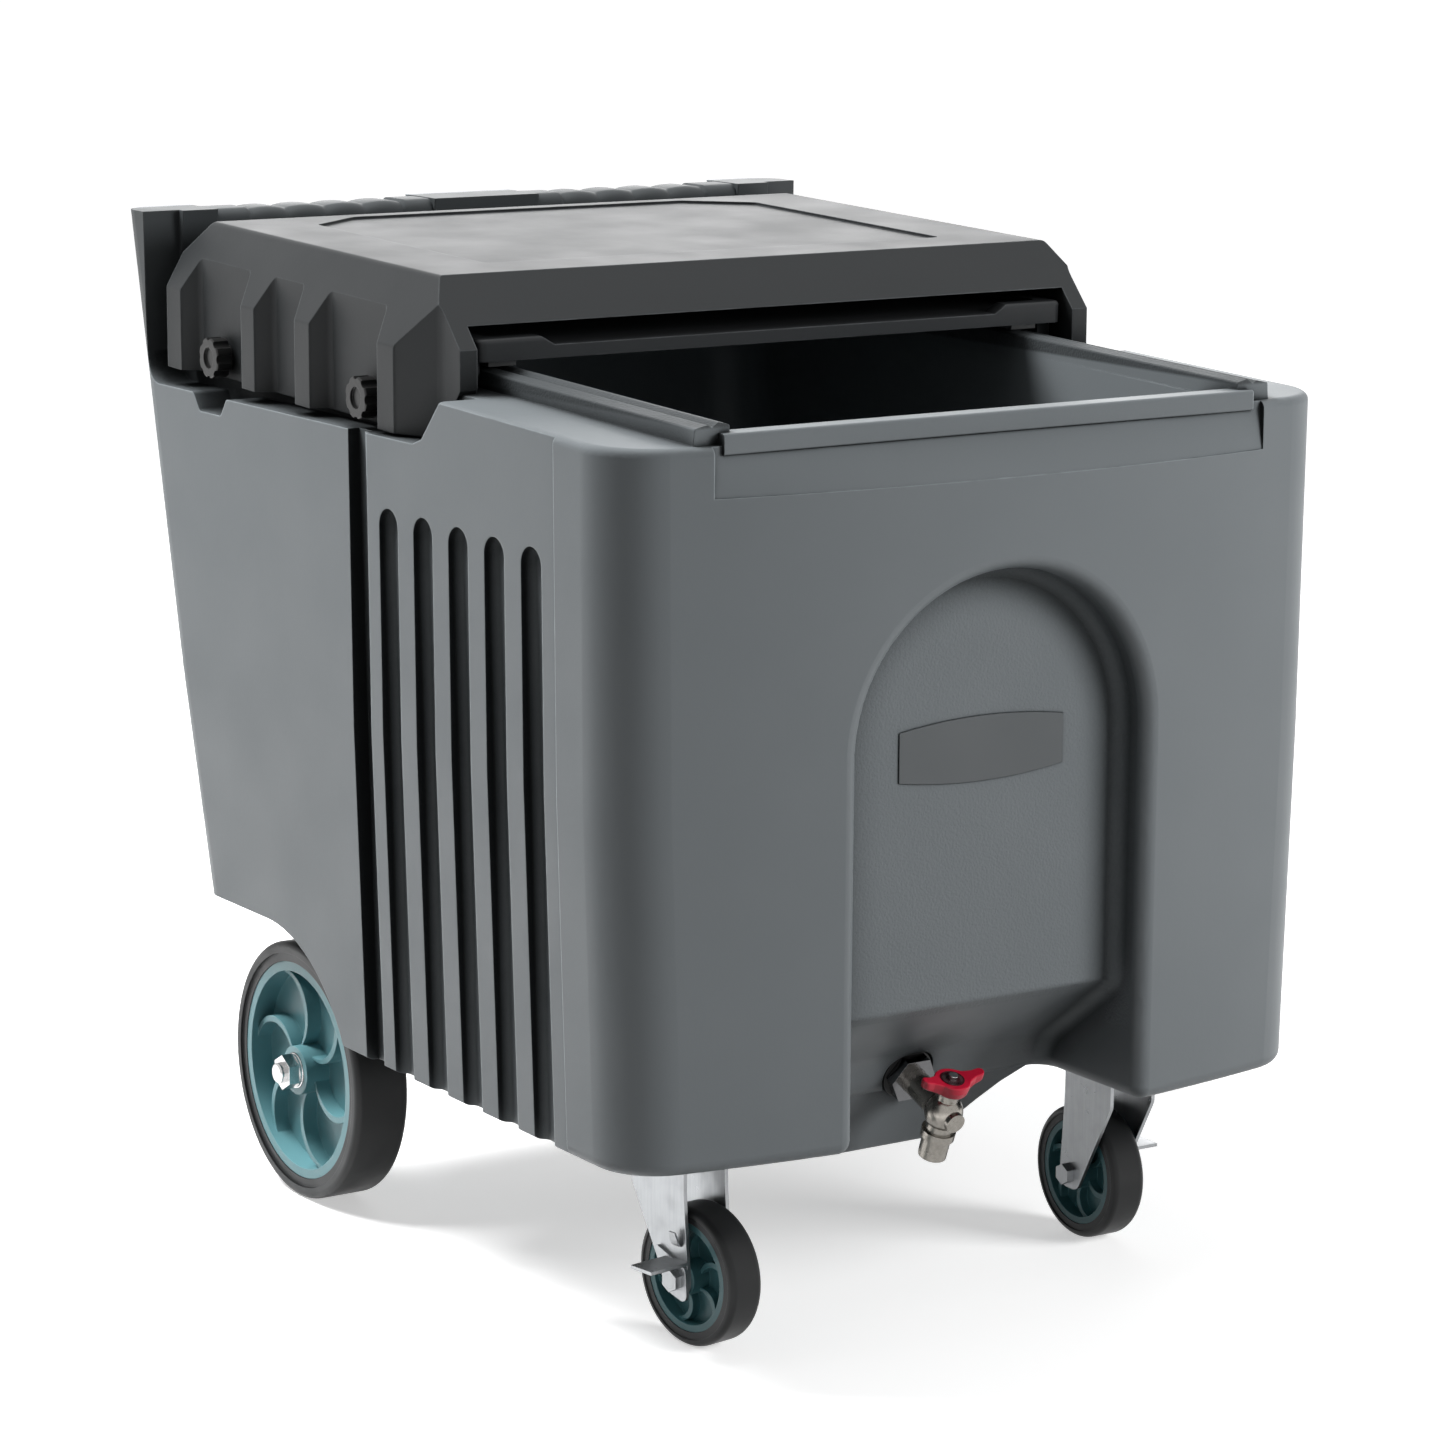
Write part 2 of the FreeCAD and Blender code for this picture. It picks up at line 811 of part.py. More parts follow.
def handle_cuts():
    """Hand holes under the two grip bars and the grooves between the fingers."""
    cutters = []
    high = body_top_z + overshoot
    bar_low = body_top_z - grip_drop - grip_bar_depth
    hole = prism_y(
        [
            (grip_inner_x, grip_hole_bottom_z),
            (grip_outer_x, grip_hole_bottom_z),
            (grip_outer_x, bar_low),
            (grip_inner_x, bar_low),
        ],
        grip_hole_radius, post_top_y - overshoot / 2, rear_tip_y + overshoot)
    cutters += both_sides(hole)
    drop = block(V(grip_inner_x, post_top_y - overshoot / 2, body_top_z - grip_drop),
                 V(grip_outer_x, rear_tip_y + overshoot, high))
    front = block(V(grip_inner_x, post_top_y - overshoot / 2, bar_low),
                  V(grip_outer_x, post_top_y + grip_bar_front_setback, high))
    cutters += both_sides(drop.fuse(front).removeSplitter())
    edge_y = post_top_y + grip_bar_front_setback
    edge_z = body_top_z - grip_drop
    diagonal = V(0, -1, 1)
    diagonal.normalize()
    across = V(0, 1, 1)
    across.normalize()
    for i in range(finger_groove_count):
        x = finger_groove_first_x + finger_groove_pitch * i
        centre = V(x, edge_y, edge_z) + diagonal * (finger_groove_radius - finger_groove_depth)
        groove = rod(finger_groove_radius, centre - across * overshoot / 2, across, overshoot)
        cutters += both_sides(groove)
    return cutters


def sump():
    """Well under the front of the tub that carries the drain."""
    xs = list(sump_outline_x)
    zs = list(sump_outline_z)
    half = list(zip(xs, zs))
    points = half + [(xs[-1], sump_top_z), (-xs[-1], sump_top_z)]
    points += [(-x, z) for x, z in reversed(half)]
    lean = math.tan(math.radians(drain_lean_deg))
    front_top = bay_foot_y - (sump_top_z - zs[0]) * lean
    across = prism_y(points, 0, front_top, sump_rear_y)
    along = prism_x(
        [(bay_foot_y, zs[0]), (front_top, sump_top_z), (sump_rear_y, sump_top_z),
         (sump_rear_foot_y, zs[0])],
        [deck_edge_radius, 0, 0, bay_heel_radius], -xs[-1] - overshoot, xs[-1] + overshoot)
    return across.common(along)


def tap_frame():
    """Placement at the ball: X across, Y back into the wall, Z along the stem."""
    lean = math.radians(drain_lean_deg)
    out = V(0, -math.cos(lean), -math.sin(lean))
    ball = V(0, tap_wall_y, tap_wall_z) + out * tap_reach
    return FreeCAD.Placement(ball, FreeCAD.Rotation(X_AXIS, drain_lean_deg))


def placed(shape, placement):
    copy = shape.copy()
    copy.Placement = placement.multiply(copy.Placement)
    return copy


def drain_bore():
    """Straight bore from the drain face up into the tub floor, and a flat round seat."""
    bore = rod(tap_tube_radius + tap_hole_clearance, V(0, tap_reach - overshoot / 4, 0), Y_AXIS,
               tub_floor_z - overshoot / 2)
    seat = rod(gasket_radius + gasket_seat_spare, V(0, tap_reach, 0), Y_AXIS * -1, gasket_seat_depth)
    return [placed(bore, tap_frame()), placed(seat, tap_frame())]


def bolt_places(x, y, offset_x, offset_y):
    return [V(x + a * offset_x, y + b * offset_y, body_bottom_z) for a in SIDES for b in SIDES]


def body_shell():
    body = body_blank(0).cut(above_deck())

    def at_bottom(edge):
        return all(v.Z < body_bottom_z + deck_edge_radius * tiny_share for v in edge.Vertexes)

    body = softened(body, at_bottom, bottom_edge_radius)

    def at_deck(edge):
        near = deck_edge_radius * tiny_share
        ends = edge.Vertexes
        level = all(abs(v.Z - deck_z(v.Y)) < near * 100 for v in ends)
        return level and any(v.Y < post_front_y - near for v in ends)

    body = softened(body, at_deck, deck_edge_radius)
    body = body.cut(wrap_step())
    body = body.cut(hood_ledge())
    body = body.cut(wheel_wells())
    body = body.cut(arch_bay())

    def arch_edge(edge):
        ends = edge.Vertexes
        front = all(v.Y < arch_panel_y - arch_floor_radius for v in ends)
        inside = all(abs(v.X) < arch_half_width + wrap_proud for v in ends)
        middle = edge.CenterOfMass
        return front and inside and middle.z > body_bottom_z + bottom_edge_radius + wrap_proud

    body = softened(body, arch_edge, arch_edge_radius)
    body = body.cut(side_slots())
    body = body.cut(side_channel())
    body = body.cut(front_recess())
    body = body.fuse(rails_and_rim() + [sump()])
    body = body.cut(tub_room())
    body = body.cut(handle_cuts())
    body = body.cut(drain_bore())
    holes = []
    for side in SIDES:
        for y, z in zip(knob_y, knob_z):
            depth = insert_length + insert_depth_spare + stud_length
            start = V(side * (seat_half_width - insert_length), y, z)
            holes.append(rod(insert_radius, start, X_AXIS * side, insert_length + overshoot))
            holes.append(rod(stud_radius + bolt_hole_clearance, start + X_AXIS * side, X_AXIS * -side,
                             insert_depth_spare + 1))
        for place in bolt_places(side * bracket_x, axle_y, bracket_bolt_offset_x,
                                 bracket_bolt_offset_y):
            holes.append(rod(bolt_radius, place - Z_AXIS, Z_AXIS, bolt_length))
        for place in bolt_places(side * caster_x, caster_y, caster_bolt_offset_x,
                                 caster_bolt_offset_y):
            holes.append(rod(bolt_radius, place - Z_AXIS, Z_AXIS, bolt_length))
    body = body.cut(holes)
    body = body.cut(badge_blank(arch_panel_y + badge_sink))
    return body.removeSplitter()


def badge_blank(back_y):
    """Bare plate with straight ends and bowed long edges."""
    half = badge_half_width
    front = arch_panel_y - badge_thickness + badge_sink
    low_left = V(-half, front, badge_side_low_z)
    low_right = V(half, front, badge_side_low_z)
    high_right = V(half, front, badge_side_high_z)
    high_left = V(-half, front, badge_side_high_z)
    outline = Part.Wire([
        Part.Arc(low_left, V(0, front, badge_side_low_z - badge_bow), low_right).toShape(),
        Part.makeLine(low_right, high_right),
        Part.Arc(high_right, V(0, front, badge_side_high_z + badge_bow), high_left).toShape(),
        Part.makeLine(high_left, low_left),
    ])
    return Part.Face(outline).extrude(V(0, back_y - front, 0))


# ---------------------------------------------------------------- hood
def hood():
    half = hood_top_half_width
    crease = hood_crease_half_width
    points = [
        (-crease, -hood_skirt_drop), (-crease, -hood_crease_drop), (-half, 0),
        (half, 0), (crease, -hood_crease_drop), (crease, -hood_skirt_drop),
    ]
    front = hood_front_corner_y
    blank = prism_y(points, [0, hood_crease_radius, hood_crease_radius, hood_crease_radius,
                             hood_crease_radius, 0], front - overshoot, hood_rear_y + overshoot)
    pivot = V(0, 0, hood_top_z_at_middle)
    blank.translate(pivot)
    blank = turned_about(blank, pivot, X_AXIS, hood_tilt_deg)
    low = ledge_z - overshoot
    high = body_top_z + overshoot
    chin_y = hood_chin_rear_y
    chin_z = hood_z(chin_y) - hood_skirt_drop
    side_view = prism_x(
        [
            (chin_y, low),
            (chin_y, chin_z),
            (hood_chin_front_y, chin_z + hood_chin_rise),
            (front, hood_z(front) - hood_front_corner_drop),
            (hood_front_top_y, hood_z(hood_front_top_y)),
            (hood_front_top_y + bolt_hole_spare, high),
            (hood_rear_top_y - bolt_hole_spare, high),
            (hood_rear_top_y, hood_z(hood_rear_top_y)),
            (hood_rear_y, hood_z(hood_rear_top_y) - hood_rear_y + hood_rear_top_y),
            (hood_rear_y, low),
        ],
        0, -crease - overshoot, crease + overshoot)
    shape = blank.common(side_view)
    cutters = []
    for rear, fore in zip(flute_rear_y, flute_front_y):
        flute = prism_z(
            [
                (crease + overshoot, rear),
                (crease, rear),
                (flute_floor_x, rear - flute_slope_run),
                (flute_floor_x, fore + flute_slope_run),
                (crease, fore),
                (crease + overshoot, fore),
            ],
            [0, flute_radius, flute_radius, flute_radius, flute_radius, 0], low, high)
        cutters += both_sides(flute)
    leg = hood_leg_outer_x
    end_flute = prism_z(
        [
            (crease + overshoot, hood_leg_curve_rear_y),
            (crease, hood_leg_curve_rear_y),
            (leg, hood_leg_curve_front_y),
            (leg, front - overshoot),
            (crease + overshoot, front - overshoot),
        ],
        [0, flute_radius, flute_radius * 3, 0, 0], low, high)
    cutters += both_sides(end_flute)
    shape = shape.cut(cutters)
    inner = hood_wall_inner_x
    room = prism_x(
        [
            (front - overshoot, low),
            (front - overshoot, hood_z(front) - hood_opening_drop),
            (hood_front_top_y, hood_z(hood_front_top_y) - hood_opening_drop),
            (hood_front_top_y + hood_opening_drop - hood_skin,
             hood_z(hood_front_top_y) - hood_skin),
            (hood_rear_y - hood_rear_wall - hood_skin, hood_z(hood_rear_y) - hood_skin),
            (hood_rear_y - hood_rear_wall, hood_z(hood_rear_y) - hood_skin * 2),
            (hood_rear_y - hood_rear_wall, low),
        ],
        [0, 0, hood_crease_radius, hood_crease_radius, hood_crease_radius, hood_crease_radius, 0],
        -inner, inner)
    start = front - overshoot
    end = hood_rear_y + overshoot
    seat = prism_x(
        [
            (start, low),
            (start, deck_z(start) + hood_rest_gap),
            (end, deck_z(end) + hood_rest_gap),
            (end, low),
        ],
        0, -seat_half_width - hood_side_gap, seat_half_width + hood_side_gap)
    shape = shape.cut([room, seat])
    panel = prism_z(
        [
            (-panel_rear_half_width, panel_rear_y), (panel_rear_half_width, panel_rear_y),
            (panel_half_width, panel_corner_y), (panel_half_width, panel_front_y),
            (-panel_half_width, panel_front_y), (-panel_half_width, panel_corner_y),
        ],
        panel_radius, -panel_depth, overshoot)
    panel.translate(pivot)
    panel = turned_about(panel, pivot, X_AXIS, hood_tilt_deg)
    shape = shape.cut(panel)
    holes = []
    for side in SIDES:
        for y, z in zip(knob_y, knob_z):
            holes.append(rod(stud_hole_radius, V(side * seat_half_width, y, z), X_AXIS * side,
                             overshoot))
    return shape.cut(holes)


# ---------------------------------------------------------------- lid
def tilted_with_deck(shape):
    pivot = V(0, 0, deck_z_at_middle)
    copy = shape.copy()
    copy.translate(pivot)
    copy.rotate(pivot, X_AXIS, deck_tilt_deg)
    return copy


def sliding_lid():
    """Tray-shaped lid that rides on the rails, built level on the deck and then tilted."""
    top = lid_bottom_rise + lid_thickness
    half = lid_half_width
    plate = prism_z(
        [(-half, lid_front_y), (half, lid_front_y), (half, lid_rear_y), (-half, lid_rear_y)],
        lid_corner_radius, lid_bottom_rise, top)
    skirt = block(V(lid_skirt_inner_x, lid_front_y + lid_corner_radius * 2, lid_skirt_rise),
                  V(half, lid_rear_y - lid_corner_radius * 2, lid_bottom_rise + lid_edge_radius))
    lid = plate.fuse(both_sides(skirt)).removeSplitter()

    def top_rim(edge):
        return all(v.Z > top - lid_edge_radius * tiny_share for v in edge.Vertexes)

    lid = softened(lid, top_rim, lid_edge_radius)
    inner = half - lid_border
    pocket_z = top - lid_pocket_depth
    pocket = prism_z(
        [(-inner, lid_front_y + lid_border), (inner, lid_front_y + lid_border),
         (inner, lid_rear_y - lid_border), (-inner, lid_rear_y - lid_border)],
        lid_corner_radius, pocket_z, top + overshoot)
    dip = lid_dip_half_width
    finger_dip = prism_y(
        [(-dip, pocket_z), (dip, pocket_z), (dip + lid_dip_run, top + lid_edge_radius),
         (-dip - lid_dip_run, top + lid_edge_radius)],
        0, lid_front_y - lid_border, lid_front_y + lid_border * 2)
    lid = lid.cut([pocket, finger_dip])
    seats = []
    for strip in runner_blanks():
        seats.append(strip)
    return tilted_with_deck(lid.cut(seats))


def runner_blanks():
    low = rail_ridge_rise + runner_gap
    strip = block(V(runner_inner_x, lid_front_y + runner_front_setback, low),
                  V(runner_outer_x, lid_rear_y - runner_rear_setback,
                    lid_bottom_rise + runner_seat_sink))
    return both_sides(strip)


def lid_runners():
    return [tilted_with_deck(strip) for strip in runner_blanks()]


# ---------------------------------------------------------------- knobs
def knob(side, y, z):
    """Eight-lobed knob; its axis is level and across the bin."""
    axis = X_AXIS * side
    base = V(side * (flute_floor_x + knob_seat_gap), y, z)
    neck = rod(knob_neck_radius, base, axis, knob_neck_length + knob_edge_radius)
    head_base = base + axis * knob_neck_length
    head = rod(knob_outer_radius, head_base, axis, knob_thickness)

    def rim(edge):
        return len(edge.Vertexes) == 1 or edge.isClosed()

    head = softened(head, rim, knob_edge_radius)
    cutters = []
    for i in range(knob_lobe_count):
        angle = 2 * math.pi / knob_lobe_count * i
        centre = head_base + V(0, math.cos(angle), math.sin(angle)) * knob_lobe_cut_centre
        cutters.append(rod(knob_lobe_cut_radius, centre - axis, axis, knob_thickness + 2))
    dish = rod(knob_dish_radius, head_base + axis * (knob_thickness - knob_dish_depth), axis,
               overshoot)
    stud_room = rod(stud_radius, base - axis, axis, stud_in_knob + 1)
    return head.cut(cutters).fuse(neck).cut([dish, stud_room]).removeSplitter()


def knob_stud(side, y, z):
    axis = X_AXIS * side
    top = V(side * (flute_floor_x + knob_seat_gap + stud_in_knob), y, z)
    return rod(stud_radius, top, axis * -1, stud_length)


def knob_insert(side, y, z):
    start = V(side * (seat_half_width - insert_length), y, z)
    sleeve = rod(insert_radius, start, X_AXIS * side, insert_length)
    return sleeve.cut(rod(stud_radius + stud_fit, start - X_AXIS * side, X_AXIS * side,
                          insert_length + 2))


# ---------------------------------------------------------------- rear axle and wheels
def rear_axle():
    start = V(-axle_half_length, axle_y, axle_z)
    axle = rod(axle_radius, start, X_AXIS, axle_half_length * 2)
    ends = [edge for edge in axle.Edges if edge.isClosed()]
    return axle.makeChamfer(knob_edge_radius, ends)


def bracket(side):
    """Flat plate under the body with one ear down to the axle."""
    x = side * bracket_x
    top = body_bottom_z
    plate = prism_z(
        [
            (x - bracket_plate_half_x, axle_y - bracket_plate_half_y),
            (x + bracket_plate_half_x, axle_y - bracket_plate_half_y),
            (x + bracket_plate_half_x, axle_y + bracket_plate_half_y),
            (x - bracket_plate_half_x, axle_y + bracket_plate_half_y),
        ],
        bracket_corner_radius, top - bracket_thickness, top)
    ear_low = axle_z - bracket_eye_radius
    ear = prism_x(
        [
            (axle_y - bracket_ear_half_y, top - bracket_thickness / 2),
            (axle_y - bracket_eye_radius, ear_low),
            (axle_y + bracket_eye_radius, ear_low),
            (axle_y + bracket_ear_half_y, top - bracket_thickness / 2),
        ],
        [0, bracket_eye_radius * eye_share, bracket_eye_radius * eye_share, 0],
        x - bracket_thickness / 2, x + bracket_thickness / 2)
    collar = rod(axle_radius * collar_share, V(x - bracket_thickness * 2, axle_y, axle_z), X_AXIS,
                 bracket_thickness * 4)
    shape = plate.fuse([ear, collar]).removeSplitter()
    holes = [rod(axle_radius, V(x - overshoot, axle_y, axle_z), X_AXIS, overshoot * 2)]
    for place in bolt_places(x, axle_y, bracket_bolt_offset_x, bracket_bolt_offset_y):
        holes.append(rod(bolt_radius + bolt_hole_clearance, place - Z_AXIS * overshoot / 2, Z_AXIS,
                         overshoot))
    return shape.cut(holes)


eye_share = 0.8
collar_share = 1.6


def bolts_under(places, plate_thickness):
    """Hexagon bolts pushed up through a plate into the body."""
    bolts = []
    for place in places:
        head_top = place - Z_AXIS * plate_thickness
        head = hexagon(bolt_head_flats, head_top - Z_AXIS * bolt_head_height, Z_AXIS,
                       bolt_head_height)
        shank = rod(bolt_radius, head_top, Z_AXIS, bolt_length)
        bolts.append(head.fuse(shank).removeSplitter())
    return bolts


def swirl_rib(inner, outer, bend, thickness, angle, x_from, x_to):
    """One curved rib of a wheel, standing on the web between hub and rim."""
    middle_radius = (inner + outer) / 2

    def at(radius, shift):
        return V(x_from, radius, shift)

    near = Part.Arc(at(inner, 0), at(middle_radius, bend), at(outer, 0)).toShape()
    far = Part.Arc(at(outer, thickness), at(middle_radius, bend + thickness),
                   at(inner, thickness)).toShape()
    face = Part.Face(Part.Wire([
        near,
        Part.makeLine(at(outer, 0), at(outer, thickness)),
        far,
        Part.makeLine(at(inner, thickness), at(inner, 0)),
    ]))
    rib = face.extrude(V(x_to - x_from, 0, 0))
    return turned_about(rib, ORIGIN, X_AXIS, angle)


def wheel_core(radius, rim_inner, width, web, hub, hub_half, bore, ribs, rib_size):
    """Moulded core about the X axis: rim, web, hub and curved ribs on both faces."""
    thickness, bend, depth = rib_size
    rim = rod(radius, V(-width / 2, 0, 0), X_AXIS, width)
    room = rod(rim_inner, V(-width / 2 - web, 0, 0), X_AXIS, width + web * 2)
    rim = rim.cut(room)
    disc = rod(rim_inner + web / 2, V(-web / 2, 0, 0), X_AXIS, web)
    boss = rod(hub, V(-hub_half, 0, 0), X_AXIS, hub_half * 2)
    parts = [disc, boss]
    for i in range(ribs):
        angle = FULL_TURN / ribs * i
        for face_side in SIDES:
            parts.append(swirl_rib(hub - web / 2, rim_inner + web / 2, bend, thickness, angle,
                                   0, face_side * (web / 2 + depth)))
    core = rim.fuse(parts).removeSplitter()
    return core.cut(rod(bore, V(-hub_half - web, 0, 0), X_AXIS, hub_half * 2 + web * 2))


def tyre(outer, inner, width, shoulder, tread_half, ring_radius, ring_sink):
    """Solid tyre about the X axis with a sunk side ring and a flat tread."""
    half = width / 2
    points = [
        (inner, -half + ring_sink), (ring_radius, -half + ring_sink), (ring_radius, -half),
        (outer, -half), (outer, half), (ring_radius, half),
        (ring_radius, half - ring_sink), (inner, half - ring_sink),
    ]
    return lathe(points, [0, 0, 0, shoulder, shoulder, 0, 0, 0], ORIGIN, X_AXIS)


def rear_wheel(side):
    middle = V(side * (wheel_outer_x - wheel_width / 2), axle_y, axle_z)
    core = wheel_core(wheel_rim_radius, wheel_rim_inner_radius, wheel_core_width,
                      wheel_web_thickness, wheel_hub_radius, wheel_hub_length / 2,
                      bearing_outer_radius, wheel_rib_count,
                      (wheel_rib_thickness, wheel_rib_bend, wheel_rib_depth))
    rubber = tyre(wheel_radius, wheel_rim_radius, wheel_width, tyre_shoulder_radius,
                  tyre_tread_half_width, tyre_ring_radius, tyre_ring_sink)
    sleeve = rod(bearing_outer_radius, V(-wheel_hub_length / 2, 0, 0), X_AXIS, wheel_hub_length)
    sleeve = sleeve.cut(rod(axle_radius + bearing_running_gap, V(-wheel_hub_length, 0, 0), X_AXIS,
                            wheel_hub_length * 2))
    moved = []
    for shape in (core, rubber, sleeve):
        if side < 0:
            shape = mirrored(shape)
        copy = shape.copy()
        copy.translate(middle)
        moved.append(copy)
    return moved


def axle_rings():
    """Spacer tube inside and washer outside each wheel, tight on the axle."""
    rings = []
    inner_x = wheel_outer_x - wheel_width / 2 - wheel_hub_length / 2
    outer_x = inner_x + wheel_hub_length
    start = bracket_x + bracket_thickness * 2
    for side in SIDES:
        axis = X_AXIS * side
        centre = V(0, axle_y, axle_z)
        bore = rod(axle_radius, centre, axis, axle_half_length + overshoot)
        spacer = rod(spacer_radius, centre + axis * start, axis, inner_x - axle_stack_gap - start)
        washer = rod(axle_washer_radius, centre + axis * (outer_x + axle_stack_gap), axis,
                     axle_washer_thickness)
        rings.append(spacer.cut(bore))
        rings.append(washer.cut(bore))
    return rings


def axle_nuts():
    outer_x = wheel_outer_x - wheel_width / 2 + wheel_hub_length / 2
    start = outer_x + axle_stack_gap + axle_washer_thickness
    nuts = []
    for side in SIDES:
        axis = X_AXIS * side
        centre = V(0, axle_y, axle_z)
        nut = hexagon(axle_nut_flats, centre + axis * start, axis, axle_nut_height)
        nuts.append(nut.cut(rod(axle_radius, centre, axis, axle_half_length + overshoot)))
    return nuts


# ---------------------------------------------------------------- casters
def caster_pieces(index):
    """All pieces of one caster, built at x = y = 0 with the wheel behind, then placed."""
    side = SIDES[index]
    yaw = caster_yaw_deg[index]
    top = body_bottom_z
    plate_low = top - caster_plate_thickness
    half_x = caster_plate_half_x
    half_y = caster_plate_half_y
    plate = prism_z([(-half_x, -half_y), (half_x, -half_y), (half_x, half_y), (-half_x, half_y)],
                    caster_plate_radius, plate_low, top)
    holes = []
    for a in SIDES:
        for b in SIDES:
            centre = V(a * caster_bolt_offset_x, b * caster_bolt_offset_y, plate_low - 1)
            holes.append(rod(bolt_radius + bolt_hole_clearance, centre, Z_AXIS,
                             caster_plate_thickness + 2))
    holes.append(rod(kingpin_radius, V(0, 0, plate_low - 1), Z_AXIS, caster_plate_thickness + 2))
    plate = plate.cut(holes)
    race_low = plate_low - race_height
    race = lathe(
        [(kingpin_radius, race_low), (race_outer_radius, race_low),
         (race_top_radius, plate_low), (kingpin_radius, plate_low)],
        [0, race_wall, 0, 0], ORIGIN, Z_AXIS)
    crown_top = race_low - caster_gap
    crown_low = crown_top - fork_sheet
    pin_top = top
    pin = rod(kingpin_radius, V(0, 0, crown_low - caster_gap), Z_AXIS,
              pin_top - crown_low + caster_gap)
    pin_head = rod(kingpin_head_radius, V(0, 0, crown_low - caster_gap - kingpin_head_height), Z_AXIS,
                   kingpin_head_height)
    pin = pin.fuse(pin_head).removeSplitter()
    axle = V(0, caster_trail, caster_wheel_radius)
    inner = fork_inner_half
    outer = inner + fork_sheet
    front = fork_crown_front_y
    back = fork_crown_rear_y
    crown = prism_z([(-outer, front), (outer, front), (outer, back), (-outer, back)],
                    [fork_bend_radius] * 4, crown_low, crown_top)
    leg = prism_x(
        [
            (front + fork_bend_radius, crown_top),
            (front + fork_bend_radius, fork_bend_z),
            (axle.y - fork_axle_boss, axle.z - fork_axle_boss),
            (axle.y + fork_axle_boss, axle.z - fork_axle_boss),
            (back - fork_bend_radius, fork_bend_z),
            (back - fork_bend_radius, crown_top),
        ],
        [0, fork_axle_boss, fork_axle_boss * eye_share, fork_axle_boss * eye_share, fork_axle_boss, 0],
        inner, outer)
    fork = crown.fuse(both_sides(leg)).removeSplitter()
    pin_hole = rod(kingpin_radius + bearing_running_gap, V(0, 0, crown_low - 1), Z_AXIS,
                   fork_sheet + 2)
    axle_hole = rod(caster_axle_radius, V(-overshoot, axle.y, axle.z), X_AXIS, overshoot * 2)
    fork = fork.cut([pin_hole, axle_hole])
    core = wheel_core(caster_rim_radius, caster_rim_radius - caster_rim_wall, caster_core_width,
                      caster_core_web, caster_core_hub_radius, caster_hub_half,
                      caster_axle_radius + bearing_running_gap, caster_rib_count,
                      (caster_rib_thickness, caster_rib_bend, caster_rib_depth))
    rubber = tyre(caster_wheel_radius, caster_rim_radius, caster_wheel_width,
                  caster_shoulder_radius, caster_wheel_width / 2,
                  (caster_wheel_radius + caster_rim_radius) / 2, 1)
    core.translate(axle)
    rubber.translate(axle)
    lever_base = outer + caster_gap
    lever_end = lever_base + brake_sheet
    bolt_start = -outer - caster_axle_head_height
    bolt = rod(caster_axle_radius, V(-outer, axle.y, axle.z), X_AXIS,
               outer + lever_end + caster_axle_head_height + caster_gap)
    bolt_head = hexagon(caster_axle_head_flats, V(bolt_start, axle.y, axle.z), X_AXIS,
                        caster_axle_head_height)
    bolt = bolt.fuse(bolt_head).removeSplitter()
    nut = hexagon(caster_axle_head_flats, V(lever_end + caster_gap, axle.y, axle.z), X_AXIS,
                  caster_axle_head_height)
    nut = nut.cut(rod(caster_axle_radius, V(0, axle.y, axle.z), X_AXIS, overshoot * 2))
    hub = rod(brake_hub_radius, V(lever_base, axle.y, axle.z), X_AXIS, brake_sheet)
    arm = prism_x(
        [
            (axle.y - brake_arm_y, axle.z + brake_flange_z),
            (axle.y - brake_hub_radius, axle.z - brake_hub_radius),
            (axle.y + brake_arm_y / 2, axle.z + brake_hook_z),
            (axle.y + brake_hub_radius, axle.z + brake_hub_radius),
        ],
        [brake_sheet, brake_hub_radius / 2, brake_hub_radius / 2, brake_hub_radius / 2],
        lever_base, lever_end)
    pedal = block(V(lever_base, axle.y - brake_pedal_half_width, axle.z + brake_pedal_z),
                  V(lever_base + brake_pedal_reach, axle.y + brake_pedal_half_width,
                    axle.z + brake_pedal_z + brake_sheet))
    lever = hub.fuse([arm, pedal]).removeSplitter()
    lever = lever.cut(rod(caster_axle_radius + bearing_running_gap, V(0, axle.y, axle.z), X_AXIS,
                          overshoot * 2))
    place = V(side * caster_x, caster_y, 0)
    still = {"plate": plate, "race": race, "kingpin": pin}
    turning = {"fork": fork, "axle_bolt": bolt, "axle_nut": nut, "wheel_core": core,
               "tyre": rubber, "brake_lever": lever}
    done = {}
    for name, shape in still.items():
        copy = shape.copy()
        copy.translate(place)
        done[name] = copy
    for name, shape in turning.items():
        copy = turned_about(shape, ORIGIN, Z_AXIS, yaw)
        copy.translate(place)
        done[name] = copy
    return done


